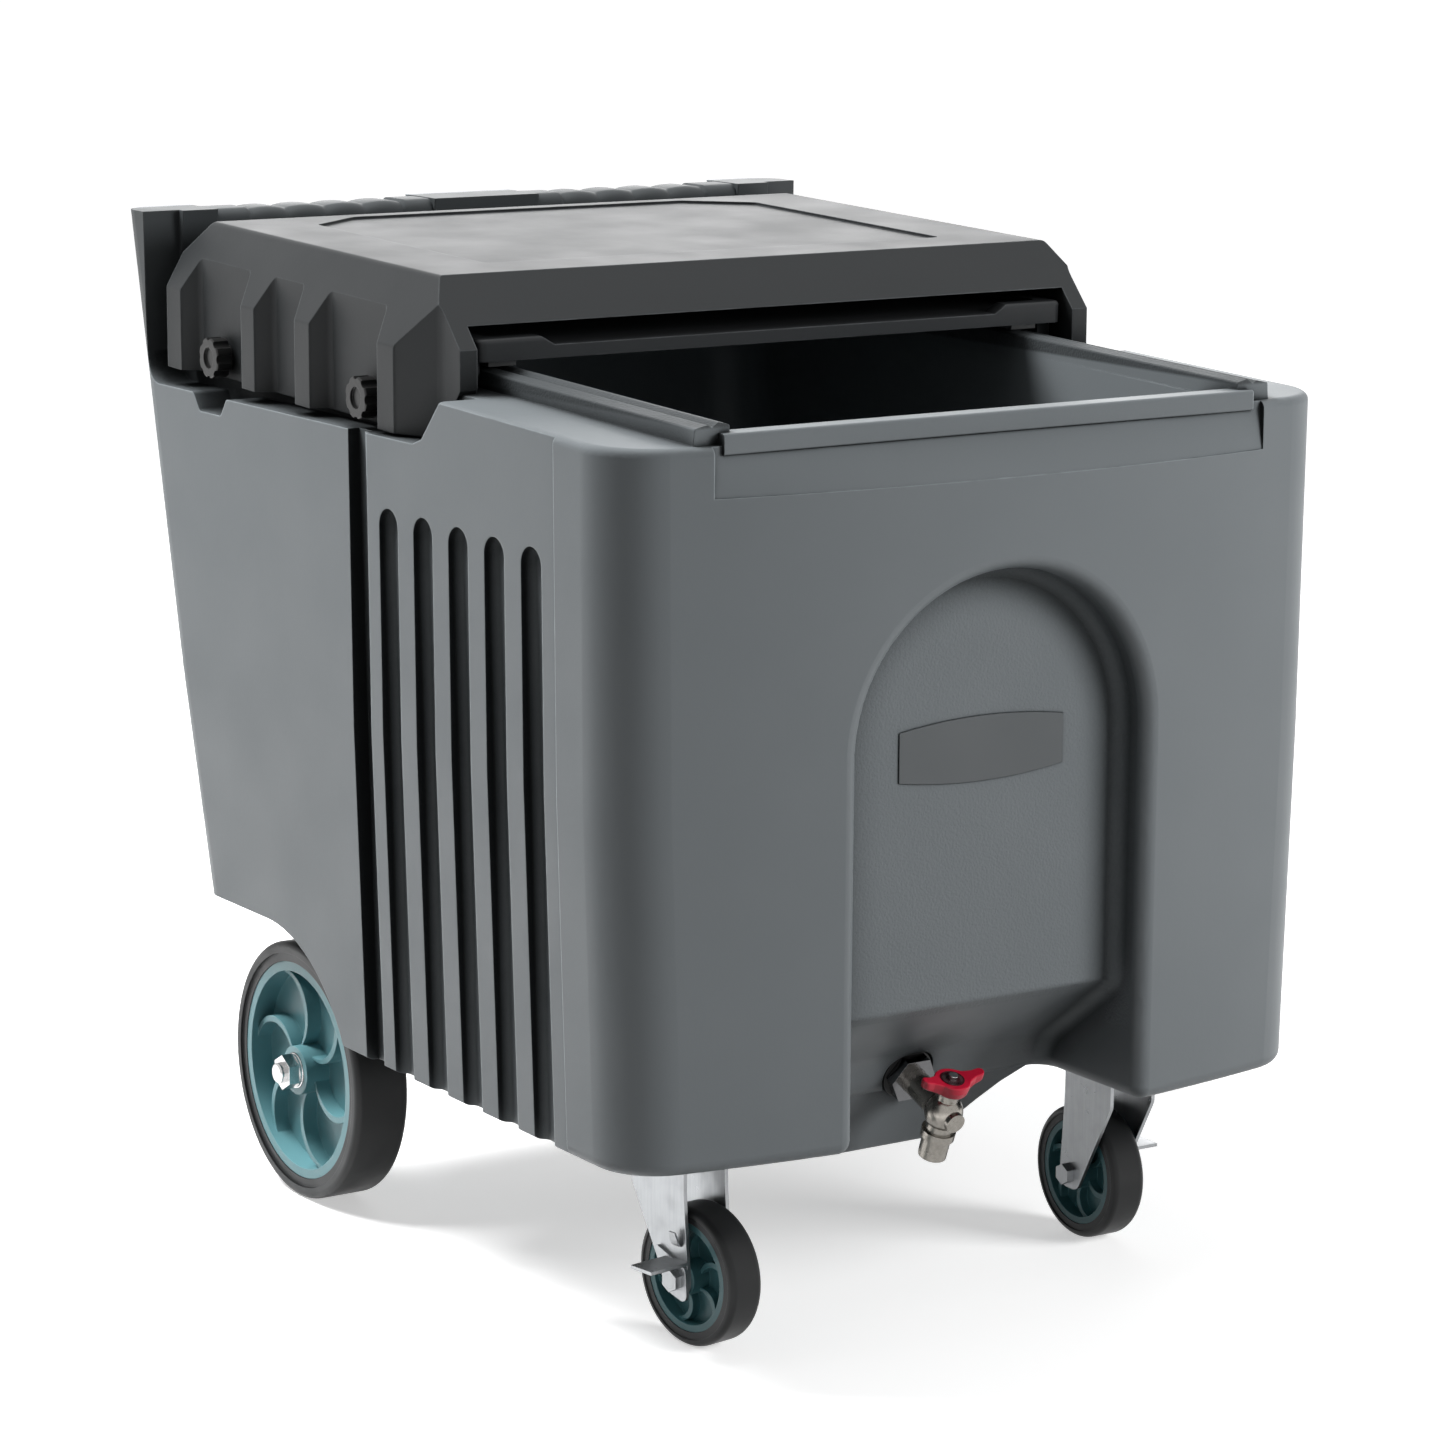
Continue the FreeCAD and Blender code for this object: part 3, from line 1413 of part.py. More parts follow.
# ---------------------------------------------------------------- drain tap
def tap_pieces():
    """Angle tap about its ball: Y runs back into the wall, Z up the stem."""
    wall = tap_reach
    seat = rod(tap_tube_radius, V(0, 0, 0), Y_AXIS, wall)
    gasket = rod(gasket_radius, V(0, wall - gasket_thickness, 0), Y_AXIS, gasket_thickness)
    gasket = gasket.cut(seat)
    nut_start = wall - gasket_thickness - tap_nut_height
    nut = hexagon(tap_nut_flats, V(0, nut_start, 0), Y_AXIS, tap_nut_height).cut(seat)
    ball_room = Part.makeSphere(tap_ball_radius + tap_ball_gap, ORIGIN)
    shell = Part.makeSphere(tap_body_radius, ORIGIN)
    tube = rod(tap_tube_radius, ORIGIN, Y_AXIS, wall + overshoot / 2)
    cap = rod(tap_cap_radius, ORIGIN, Y_AXIS * -1, tap_cap_reach)
    bonnet = rod(tap_bonnet_radius, ORIGIN, Z_AXIS, tap_bonnet_reach)
    collar = rod(outlet_collar_radius, V(0, 0, -outlet_collar_to), Z_AXIS,
                 outlet_collar_to - outlet_collar_from)
    spout = rod(outlet_radius, ORIGIN, Z_AXIS * -1, outlet_reach)
    body = shell.fuse([tube, cap, bonnet, collar, spout])
    rooms = [
        ball_room,
        rod(tap_bore_radius, ORIGIN, Y_AXIS, wall + overshoot),
        rod(outlet_bore_radius, ORIGIN, Z_AXIS * -1, outlet_reach + overshoot),
        rod(tap_stem_radius + tap_stem_fit, ORIGIN, Z_AXIS, overshoot),
    ]
    body = body.cut(rooms)
    body = body.removeSplitter()
    slot_half = tap_tang_half
    slot_z = tap_ball_radius - tap_stem_radius
    ball = Part.makeSphere(tap_ball_radius, ORIGIN)
    ball = ball.cut([
        rod(tap_ball_port_radius, ORIGIN, Z_AXIS * -1, overshoot),
        rod(tap_ball_port_radius, ORIGIN, X_AXIS, overshoot),
        Part.makeSphere(tap_ball_port_radius, ORIGIN),
        block(V(-overshoot, -slot_half, slot_z), V(overshoot, slot_half, overshoot)),
    ])
    stem = rod(tap_stem_radius, V(0, 0, tap_ball_radius + tap_ball_gap), Z_AXIS,
               tap_stem_top - tap_ball_radius - tap_ball_gap)
    tang = block(V(-tap_stem_radius, -slot_half, slot_z), V(tap_stem_radius, slot_half,
                                                            tap_ball_radius + tap_stem_radius))
    stem = stem.fuse(tang.common(rod(tap_stem_radius, ORIGIN, Z_AXIS, overshoot)))
    stem = stem.removeSplitter()
    hub = rod(handle_hub_radius, V(0, 0, handle_hub_base), Z_AXIS, handle_hub_height)
    span = handle_wing_span / 2
    half = handle_wing_half_width
    wings = prism_z(
        [(-span, -half), (0, -half / 2), (span, -half), (span, half), (0, half / 2), (-span, half)],
        [half * eye_share, 0, half * eye_share, half * eye_share, 0, half * eye_share],
        handle_hub_base + handle_wing_lift, handle_hub_base + handle_wing_lift + handle_wing_thickness)
    handle = hub.fuse(wings).removeSplitter()
    handle = handle.cut(rod(tap_stem_radius, ORIGIN, Z_AXIS, overshoot))
    nut_z = handle_hub_base + handle_hub_height
    lock = hexagon(handle_nut_flats * 1.6, V(0, 0, nut_z), Z_AXIS, handle_nut_height)
    lock = lock.cut(rod(tap_stem_radius, ORIGIN, Z_AXIS, overshoot))
    pieces = {"drain_gasket": gasket, "drain_lock_nut": nut, "tap_body": body, "tap_ball": ball,
              "tap_stem": stem, "tap_handle": handle, "tap_handle_nut": lock}
    frame = tap_frame()
    return {name: placed(shape, frame) for name, shape in pieces.items()}


# ---------------------------------------------------------------- all pieces
def main():
    os.makedirs("parts", exist_ok=True)
    write("body_shell", [body_shell()])
    write("badge_plate", [badge_blank(arch_panel_y + badge_sink)])
    write("hood", [hood()])
    write("sliding_lid", [sliding_lid()])
    write("lid_runners", lid_runners())
    names = {(-1, 0): "front_left", (-1, 1): "rear_left", (1, 0): "front_right",
             (1, 1): "rear_right"}
    inserts = []
    for side in SIDES:
        for i in range(len(knob_y)):
            place = (side, knob_y[i], knob_z[i])
            write("knob_" + names[(side, i)], [knob(*place)])
            write("knob_stud_" + names[(side, i)], [knob_stud(*place)])
            inserts.append(knob_insert(*place))
    write("knob_inserts", inserts)
    write("rear_axle", [rear_axle()])
    write("axle_brackets", [bracket(side) for side in SIDES])
    places = []
    for side in SIDES:
        places += bolt_places(side * bracket_x, axle_y, bracket_bolt_offset_x,
                              bracket_bolt_offset_y)
    write("bracket_bolts", bolts_under(places, bracket_thickness))
    for side, word in zip(SIDES, ("left", "right")):
        core, rubber, sleeve = rear_wheel(side)
        write("rear_wheel_core_" + word, [core])
        write("rear_tyre_" + word, [rubber])
        write("rear_bearing_" + word, [sleeve])
    write("axle_rings", axle_rings())
    write("axle_nuts", axle_nuts())
    places = []
    for index, word in enumerate(("left", "right")):
        for name, shape in caster_pieces(index).items():
            write("caster_" + name + "_" + word, [shape])
        places += bolt_places(SIDES[index] * caster_x, caster_y, caster_bolt_offset_x,
                              caster_bolt_offset_y)
    write("caster_bolts", bolts_under(places, caster_plate_thickness))
    for name, shape in tap_pieces().items():
        write(name, [shape])


main()
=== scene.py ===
import json
import math

import bmesh
import bpy
from mathutils import Matrix, Vector


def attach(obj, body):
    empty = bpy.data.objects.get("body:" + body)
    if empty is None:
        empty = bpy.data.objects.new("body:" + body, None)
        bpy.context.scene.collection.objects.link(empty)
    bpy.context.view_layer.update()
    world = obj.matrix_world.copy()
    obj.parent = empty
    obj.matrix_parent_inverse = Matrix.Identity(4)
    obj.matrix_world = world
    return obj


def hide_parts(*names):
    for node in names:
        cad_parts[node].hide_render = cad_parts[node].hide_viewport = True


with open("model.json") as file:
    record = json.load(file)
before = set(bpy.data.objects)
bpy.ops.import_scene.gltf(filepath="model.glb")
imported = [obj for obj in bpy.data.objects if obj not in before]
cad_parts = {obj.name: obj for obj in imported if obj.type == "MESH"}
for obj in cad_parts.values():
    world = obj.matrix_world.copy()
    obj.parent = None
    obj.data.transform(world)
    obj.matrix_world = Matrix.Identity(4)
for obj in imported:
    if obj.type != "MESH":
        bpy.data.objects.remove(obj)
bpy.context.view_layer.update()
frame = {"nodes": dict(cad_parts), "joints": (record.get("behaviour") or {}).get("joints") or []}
nodes = frame["nodes"]

# The camera of the photo, in the row frame.
camera_place = (-1.8327, -2.8344, 1.0486)
camera_yaw_deg = -32.8
camera_pitch_deg = -11.4
camera_roll_deg = 0.2
camera_lens = 113.35
camera_shift = (0.01273, 0.00505)

# Linear base colours.
body_colour = (0.132, 0.146, 0.154)
badge_colour = (0.062, 0.068, 0.072)
hood_colour = (0.021, 0.0228, 0.024)
lid_colour = (0.022, 0.0235, 0.025)
glide_colour = (0.05, 0.052, 0.053)
teal_colour = (0.135, 0.3, 0.33)
# Painted shade: the casters' teal is a darker copy of the wheel teal, for the shade under the body.
caster_shaded_teal_colour = (0.075, 0.2, 0.22)
red_colour = (0.5, 0.006, 0.032)
insert_colour = (0.03, 0.004, 0.007)
floor_colour = (0.86, 0.86, 0.86)
bounce_colour = (0.2, 0.2, 0.2)
white_light = (1.0, 1.0, 1.0)

# Where the leathery grain lies: over the arch panel and the rails, in metres.
arch_grain_half_x = 0.125
arch_grain_y = (-0.362, -0.335)
arch_grain_z = (0.2, 0.56)
rail_grain_half_x = 0.262
rail_grain_z = 0.655

# Painted shade: the handle and its posts are darkened, but for a strip along the leaning rear face.
handle_shade_y = 0.326
handle_shade_z = 0.641
handle_painted_shade = 0.28
rear_top = (0.381, 0.747)
rear_lean = 0.2
rear_strip = 0.007

# Sampling and thresholds of the shader masks.
bevel_samples = 6
air_samples = 8
edge_turn = (0.9, 0.995)
open_share = (0.5, 0.93)
# Painted shade in grooves: the AO reach, and how dark, rough and dull the grooves turn.
cavity_reach = 0.04
cavity_shade = 0.08
cavity_roughness = 0.2
cavity_specular = 0.05
mask_soft = 0.002
arch_soft = 0.004
across_soft = 0.003
strip_soft = 0.001
rail_grain_end = (0.2, 0.21)
leather_cell_scale = 620.0
leather_noise_scale = 480.0
leather_height = 0.0004
leather_strength = 0.7
leather_roughness = 0.06
# Painted shade on the rails: how much of it, and how dark.
rail_blend = 0.85
rail_painted_shade = 0.25
mid_noise = (0.3, 0.7)


# ---- node helpers ----
def new_material(name):
    material = bpy.data.materials.new(name)
    material.use_nodes = True
    tree = material.node_tree
    shader = tree.nodes["Principled BSDF"]
    return material, tree, shader


def add(tree, kind, **values):
    node = tree.nodes.new(kind)
    for key, value in values.items():
        setattr(node, key, value)
    return node


def object_point(tree):
    return add(tree, "ShaderNodeTexCoord").outputs["Object"]


def noise(tree, scale, detail=3.0, rough=0.5, stretch=(1, 1, 1)):
    node = add(tree, "ShaderNodeTexNoise")
    node.inputs["Scale"].default_value = scale
    node.inputs["Detail"].default_value = detail
    node.inputs["Roughness"].default_value = rough
    mapping = add(tree, "ShaderNodeMapping")
    mapping.inputs["Scale"].default_value = stretch
    tree.links.new(object_point(tree), mapping.inputs["Vector"])
    tree.links.new(mapping.outputs["Vector"], node.inputs["Vector"])
    return node.outputs["Fac"]


def ramp(tree, source, low, high, low_at=0.0, high_at=1.0):
    node = add(tree, "ShaderNodeMapRange")
    node.inputs["From Min"].default_value = low_at
    node.inputs["From Max"].default_value = high_at
    node.inputs["To Min"].default_value = low
    node.inputs["To Max"].default_value = high
    tree.links.new(source, node.inputs["Value"])
    return node.outputs["Result"]


def calculate(tree, operation, first, second):
    node = add(tree, "ShaderNodeMath", operation=operation)
    for socket, value in zip(node.inputs, (first, second)):
        if isinstance(value, (int, float)):
            socket.default_value = value
        else:
            tree.links.new(value, socket)
    return node.outputs["Value"]


def blended(tree, factor, first, second):
    """Mixes two colours, each a tuple or a socket."""
    node = add(tree, "ShaderNodeMix", data_type="RGBA")
    for key, value in (("A", first), ("B", second)):
        if isinstance(value, tuple):
            node.inputs[key].default_value = (*value, 1)
        else:
            tree.links.new(value, node.inputs[key])
    tree.links.new(factor, node.inputs["Factor"])
    return node.outputs["Result"]


def scaled(colour, amount):
    return tuple(min(1.0, c * amount) for c in colour)


def soft_normal(tree, radius):
    node = add(tree, "ShaderNodeBevel", samples=bevel_samples)
    node.inputs["Radius"].default_value = radius
    return node.outputs["Normal"]


def edge_mask(tree, radius):
    """One on sharp edges, zero on flats."""
    dot = add(tree, "ShaderNodeVectorMath", operation="DOT_PRODUCT")
    tree.links.new(soft_normal(tree, radius), dot.inputs[0])
    tree.links.new(add(tree, "ShaderNodeNewGeometry").outputs["Normal"], dot.inputs[1])
    return ramp(tree, dot.outputs["Value"], 1.0, 0.0, *edge_turn)


def bump(tree, shader, layers, radius):
    """Chains (height, strength, distance) layers over softened edges."""
    normal = soft_normal(tree, radius)
    for height, strength, distance in layers:
        node = add(tree, "ShaderNodeBump")
        node.inputs["Distance"].default_value = distance
        if isinstance(strength, (int, float)):
            node.inputs["Strength"].default_value = strength
        else:
            tree.links.new(strength, node.inputs["Strength"])
        tree.links.new(height, node.inputs["Height"])
        tree.links.new(normal, node.inputs["Normal"])
        normal = node.outputs["Normal"]
    tree.links.new(normal, shader.inputs["Normal"])


def open_air(tree, reach):
    """One on open surfaces, towards zero deep in a groove."""
    node = add(tree, "ShaderNodeAmbientOcclusion", samples=air_samples)
    node.inputs["Distance"].default_value = reach
    return node.outputs["AO"]


def leather(tree):
    """Height of a leathery moulded grain."""
    cells = add(tree, "ShaderNodeTexVoronoi", feature="SMOOTH_F1")
    cells.inputs["Scale"].default_value = leather_cell_scale
    tree.links.new(object_point(tree), cells.inputs["Vector"])
    return calculate(tree, "ADD", cells.outputs["Distance"], noise(tree, leather_noise_scale, 2.0))


def within(tree, value, low, high, soft):
    rising = ramp(tree, value, 0.0, 1.0, low - soft, low)
    falling = ramp(tree, value, 1.0, 0.0, high, high + soft)
    return calculate(tree, "MULTIPLY", rising, falling)


def grain_mask(tree):
    """One on the arch panel and rails, then one on the rails round the tub's mouth alone."""
    split = add(tree, "ShaderNodeSeparateXYZ")
    tree.links.new(object_point(tree), split.inputs["Vector"])
    x, y, z = split.outputs
    across = calculate(tree, "ABSOLUTE", x, 0.0)
    arch = within(tree, y, *arch_grain_y, mask_soft)
    arch = calculate(tree, "MULTIPLY", arch, within(tree, z, *arch_grain_z, arch_soft))
    narrow = ramp(tree, across, 1.0, 0.0, arch_grain_half_x, arch_grain_half_x + across_soft)
    arch = calculate(tree, "MULTIPLY", arch, narrow)
    rails = ramp(tree, z, 0.0, 1.0, rail_grain_z - mask_soft, rail_grain_z)
    narrow = ramp(tree, across, 1.0, 0.0, rail_grain_half_x, rail_grain_half_x + across_soft)
    rails = calculate(tree, "MULTIPLY", rails, narrow)
    rails = calculate(tree, "MULTIPLY", rails, ramp(tree, y, 1.0, 0.0, *rail_grain_end))
    return calculate(tree, "MAXIMUM", arch, rails), rails


def handle_painted_shade_mask(tree):
    """One on the handle and its posts, where painted shade darkens the colour."""
    split = add(tree, "ShaderNodeSeparateXYZ")
    tree.links.new(object_point(tree), split.inputs["Vector"])
    y, z = split.outputs["Y"], split.outputs["Z"]
    behind_hood = ramp(tree, y, 0.0, 1.0, handle_shade_y - mask_soft, handle_shade_y)
    above_ledge = ramp(tree, z, 0.0, 1.0, handle_shade_z - mask_soft, handle_shade_z)
    top_y, top_z = rear_top
    rear_y = ramp(tree, z, top_y - rear_lean * top_z, top_y)
    rear_y.node.inputs["From Max"].default_value = top_z
    inset = calculate(tree, "SUBTRACT", rear_y, y)
    off_rear = ramp(tree, inset, 0.0, 1.0, rear_strip - strip_soft, rear_strip)
    both = calculate(tree, "MULTIPLY", behind_hood, above_ledge)
    return calculate(tree, "MULTIPLY", both, off_rear)


# ---- materials ----
def moulded(name, colour, roughness, grain=900.0, grain_height=0.0001, edge=0.0015, drift=0.05,
            specular=0.4, edge_highlight_gain=1.7, leathery=False, cavity=0.0):
    """Moulded plastic: fine grain, slow colour drift and softened edges. Sharp edges get a painted
    highlight in patches; with cavity set, grooves get painted shade; leathery bodies also get painted
    shade on the rails and handle.
    """
    material, tree, shader = new_material(name)
    slow = noise(tree, 4.0, 3.0)
    base = blended(tree, slow, scaled(colour, 1 - drift), scaled(colour, 1 + drift))
    # Painted highlight: sharp edges are lightened in patches, standing in for light caught on the
    # rounded edges.
    highlight_breakup = ramp(tree, noise(tree, 60.0, 4.0), 0.3, 1.0, *mid_noise)
    painted_edge_highlight = calculate(tree, "MULTIPLY", edge_mask(tree, edge), highlight_breakup)
    base = blended(tree, painted_edge_highlight, base, scaled(colour, edge_highlight_gain))
    level = ramp(tree, noise(tree, 14.0, 4.0), roughness - 0.04, roughness + 0.04, *mid_noise)
    layers = [(noise(tree, 240.0, 2.0, 0.5), 0.3, grain_height * 1.5),
              (noise(tree, grain, 2.0, 0.6), 0.35, grain_height)]
    if cavity:
        # Painted shade: AO darkens the colour deep in grooves and slots, where shade falls.
        deep = ramp(tree, open_air(tree, cavity_reach), cavity, 0.0, *open_share)
        base = blended(tree, deep, base, scaled(colour, cavity_shade))
        level = calculate(tree, "ADD", level, calculate(tree, "MULTIPLY", deep, cavity_roughness))
        dulled = ramp(tree, deep, specular, cavity_specular)
        tree.links.new(dulled, shader.inputs["Specular IOR Level"])
    if leathery:
        mask, rails = grain_mask(tree)
        # Painted shade: the rails round the tub's mouth are darkened as if in shade; the grain on them
        # is real.
        painted_rail_darkening = calculate(tree, "MULTIPLY", rails, rail_blend)
        base = blended(tree, painted_rail_darkening, base, scaled(colour, rail_painted_shade))
        # Painted shade on the handle and its posts.
        base = blended(tree, handle_painted_shade_mask(tree), base, scaled(colour, handle_painted_shade))
        level = calculate(tree, "ADD", level, calculate(tree, "MULTIPLY", mask, leather_roughness))
        layers.append((leather(tree), calculate(tree, "MULTIPLY", mask, leather_strength),
                       leather_height))
    tree.links.new(base, shader.inputs["Base Color"])
    tree.links.new(level, shader.inputs["Roughness"])
    shader.inputs["Specular IOR Level"].default_value = specular
    bump(tree, shader, layers, edge)
    return material


def metal(name, colour, roughness, stretch=(1, 1, 1), streaks=0.1, stains=0.3, edge=0.0005):
    """Metal with faint streaks in the rolling direction and small stains."""
    material, tree, shader = new_material(name)
    streak = noise(tree, 350.0, 3.0, 0.6, stretch)
    stain = noise(tree, 70.0, 5.0)
    base = blended(tree, ramp(tree, streak, 0.0, 1.0, 0.35, 0.65), scaled(colour, 1 - streaks), colour)
    base = blended(tree, ramp(tree, stain, 0.0, 0.5, 0.5, 0.8), base, scaled(colour, 1 - stains))
    tree.links.new(base, shader.inputs["Base Color"])
    level = ramp(tree, stain, roughness * 0.75, roughness * 1.35, *mid_noise)
    tree.links.new(level, shader.inputs["Roughness"])
    shader.inputs["Metallic"].default_value = 1.0
    bump(tree, shader, [(streak, 0.2, 0.00004)], edge)
    return material


def rubber(name, colour, roughness):
    """Dark rubber in a patchy tone, with a painted sheen that lightens its side faces in patches."""
    material, tree, shader = new_material(name)
    bloom = noise(tree, 30.0, 5.0)
    facing = add(tree, "ShaderNodeSeparateXYZ")
    tree.links.new(add(tree, "ShaderNodeTexCoord").outputs["Normal"], facing.inputs["Vector"])
    sideways = calculate(tree, "ABSOLUTE", facing.outputs["X"], 0.0)
    base = blended(tree, bloom, scaled(colour, 0.8), scaled(colour, 1.3))
    # Painted sheen: faces turned sideways are lightened, standing in for the key light reflected off the
    # sidewalls.
    on_sides = ramp(tree, sideways, 0.0, 1.0, 0.75, 0.97)
    painted_side_sheen = calculate(tree, "MULTIPLY", on_sides, ramp(tree, bloom, 0.6, 1.0))
    base = blended(tree, painted_side_sheen, base, scaled(colour, 3.2))
    tree.links.new(base, shader.inputs["Base Color"])
    level = ramp(tree, bloom, roughness - 0.08, roughness + 0.1, *mid_noise)
    tree.links.new(level, shader.inputs["Roughness"])
    shader.inputs["Specular IOR Level"].default_value = 0.3
    bump(tree, shader, [(noise(tree, 420.0, 3.0), 0.3, 0.0001)], 0.001)
    return material


body_mat = moulded("body_plastic", body_colour, 0.45, specular=0.32, edge_highlight_gain=2.2, leathery=True,
                   cavity=0.97)
badge_mat = moulded("badge_plastic", badge_colour, 0.4, grain_height=0.00003, edge=0.0006)
hood_mat = moulded("hood_plastic", hood_colour, 0.44, specular=0.25, edge_highlight_gain=5.5, cavity=0.6)
lid_mat = moulded("lid_plastic", lid_colour, 0.44, specular=0.25, edge_highlight_gain=4.0, cavity=0.4)
glide_mat = moulded("glide_plastic", glide_colour, 0.35)
knob_mat = moulded("knob_plastic", (0.01, 0.01, 0.01), 0.3, edge=0.0006)
teal_mat = moulded("wheel_teal", teal_colour, 0.36, grain_height=0.00004, edge=0.0009, edge_highlight_gain=1.35)
# Painted shade: same teal plastic as the wheels, darkened for the casters.
caster_shaded_teal_mat = moulded("caster_shaded_teal", caster_shaded_teal_colour, 0.36, grain_height=0.00004, edge=0.0009,
                          edge_highlight_gain=1.8)
tyre_mat = rubber("tyre_rubber", (0.01, 0.0105, 0.011), 0.46)
gasket_mat = rubber("gasket_rubber", (0.006, 0.006, 0.006), 0.45)
bearing_mat = moulded("bearing_plastic", (0.015, 0.015, 0.015), 0.35, edge=0.0005)
zinc_mat = metal("bright_zinc", (0.34, 0.35, 0.36), 0.34, (1, 1, 0.06), stains=0.12)
steel_mat = metal("plated_steel", (0.62, 0.62, 0.62), 0.2)
dark_steel_mat = metal("dark_steel", (0.07, 0.07, 0.075), 0.4)
brass_mat = metal("insert_brass", (0.72, 0.5, 0.2), 0.3)
nickel_mat = metal("tap_nickel", (0.33, 0.31, 0.28), 0.27, streaks=0.2)
lock_nut_mat = metal("lock_nut_chrome", (0.17, 0.17, 0.175), 0.16, streaks=0.1)
chrome_mat = metal("tap_chrome", (0.78, 0.78, 0.79), 0.08, streaks=0.04)
red_mat = moulded("handle_red", red_colour, 0.3, grain_height=0.00003, edge=0.0008, edge_highlight_gain=1.15)
insert_mat = moulded("handle_insert", insert_colour, 0.35, grain_height=0.00002, edge=0.0003)

by_prefix = [
    ("body_shell", body_mat), ("badge_plate", badge_mat), ("hood", hood_mat),
    ("sliding_lid", lid_mat), ("lid_runners", glide_mat), ("knob_stud", steel_mat),
    ("knob_inserts", brass_mat), ("knob_", knob_mat), ("rear_axle", steel_mat),
    ("axle_rings", steel_mat), ("axle_nuts", steel_mat), ("axle_brackets", dark_steel_mat),
    ("bracket_bolts", dark_steel_mat), ("rear_wheel_core", teal_mat),
    ("caster_wheel_core", caster_shaded_teal_mat), ("rear_tyre", tyre_mat), ("caster_tyre", tyre_mat),
    ("rear_bearing", bearing_mat), ("caster_", zinc_mat), ("drain_gasket", gasket_mat),
    ("drain_lock_nut", lock_nut_mat), ("tap_body", nickel_mat), ("tap_handle_nut", chrome_mat),
    ("tap_handle", red_mat), ("tap_", chrome_mat),
]


def material_for(name):
    for prefix, material in by_prefix:
        if name.startswith(prefix):
            return material
    raise ValueError(name)


for name, node in nodes.items():
    node.data.materials.clear()
    node.data.materials.append(material_for(name))


# ---- small parts that the solids leave plain ----
joints = {joint["name"]: joint for joint in frame["joints"]}


def joint_frame(name):
    """Matrix at a joint with its own Z along the joint's axis."""
    joint = joints[name]
    turn = Vector(joint["axis"]).to_track_quat("Z", "Y").to_matrix().to_4x4()
    return Matrix.Translation(Vector(joint["pos_m"])) @ turn


def along(name, place):
    """Lowest and highest point of a CAD node along a frame's Z."""
    back = place.inverted()
    heights = [(back @ corner.co).z for corner in nodes[name].data.vertices]
    return min(heights), max(heights)


def add_piece(name, shape, place, body, material):
    mesh = bpy.data.meshes.new(name)
    bmesh.ops.recalc_face_normals(shape, faces=shape.faces)
    shape.to_mesh(mesh)
    shape.free()
    mesh.transform(place)
    piece = bpy.data.objects.new(name, mesh)
    bpy.context.scene.collection.objects.link(piece)
    mesh.materials.append(material)
    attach(piece, body)
    return piece


def turned(rings, count, closed=False):
    """Mesh of rings about Z: each gives (radius, height), or a function of the angle that does."""
    shape = bmesh.new()
    rows = []
    for ring in rings:
        row = []
        for i in range(count):
            angle = 2 * math.pi * i / count
            radius, height = ring(i) if callable(ring) else ring
            row.append(shape.verts.new((radius * math.cos(angle), radius * math.sin(angle), height)))
        rows.append(row)
    pairs = list(zip(rows, rows[1:]))
    if closed:
        pairs.append((rows[-1], rows[0]))
    for low, high in pairs:
        for i in range(count):
            j = (i + 1) % count
            shape.faces.new((low[i], low[j], high[j], high[i]))
    if not closed:
        shape.faces.new(rows[0])
        shape.faces.new(rows[-1])
    return shape


handle_half_span = 0.0262
handle_hub_radius = 0.0134
handle_hub_skirt = 0.0022
handle_tip_half_width = 0.0042
handle_tip_rise = 0.0035
handle_tip_thickness = 0.0062
handle_station_count = 33
handle_bevel = 0.0011
handle_bevel_segments = 3
handle_bevel_limit_deg = 40
wing_root_share = 0.86
wing_taper = 1.45
wing_tip_share = 0.14
wing_tip_least = 0.25
wing_rise_start_share = 0.35
wing_thinning = 1.5
handle_foot_share = 0.9
handle_head_share = 0.98


def handle_section(share):
    """Half width of the red handle, and the share of its reach, at a share of its half span."""
    reach = abs(share) * handle_half_span
    round_part = math.sqrt(max(0.0, handle_hub_radius ** 2 - reach ** 2))
    wing_root = handle_hub_radius * wing_root_share
    slide = min(1.0, reach / handle_half_span)
    wing = wing_root + (handle_tip_half_width - wing_root) * min(1.0, slide * wing_taper)
    tip = math.sqrt(max(0.0, 1.0 - max(0.0, (slide - wing_root_share) / wing_tip_share) ** 2))
    return max(round_part, wing) * max(wing_tip_least, tip), slide


def make_handle():
    """Red wing handle: a round hub that runs out into two rising wings."""
    place = joint_frame("tap_turn")
    foot, head = along("tap_handle", place)
    foot -= handle_hub_skirt
    shape = bmesh.new()
    rows = []
    for i in range(handle_station_count):
        share = 2.0 * i / (handle_station_count - 1) - 1.0
        half, slide = handle_section(share)
        climb = max(0.0, slide - wing_rise_start_share) / (1.0 - wing_rise_start_share)
        rise = handle_tip_rise * climb
        top = head + rise
        thick = (head - foot) + (handle_tip_thickness - (head - foot)) * slide ** wing_thinning
        narrow = half * handle_foot_share
        wide = half * handle_head_share
        x = share * handle_half_span
        rows.append([shape.verts.new(point) for point in (
            (x, -narrow, top - thick), (x, narrow, top - thick), (x, half, top - thick * 0.5),
            (x, wide, top), (x, -wide, top), (x, -half, top - thick * 0.5))])
    for low, high in zip(rows, rows[1:]):
        for i in range(6):
            j = (i + 1) % 6
            shape.faces.new((low[i], low[j], high[j], high[i]))
    shape.faces.new(rows[0])
    shape.faces.new(rows[-1])
    handle = add_piece("tap_handle_red", shape, place, "tap_turn", red_mat)
    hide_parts("tap_handle")
    rounding = handle.modifiers.new("rounded", "BEVEL")
    rounding.width = handle_bevel
    rounding.segments = handle_bevel_segments
    rounding.angle_limit = math.radians(handle_bevel_limit_deg)


handle_insert_radius = 0.0088
handle_insert_height = 0.0011
handle_insert_seat = 0.6
handle_rib_height = 0.0004
handle_rib_count = 30
handle_screw_radius = 0.0026
handle_screw_height = 0.0021
screw_cross_depth = 0.0007
screw_side_count = 32
screw_slot_share = 0.45


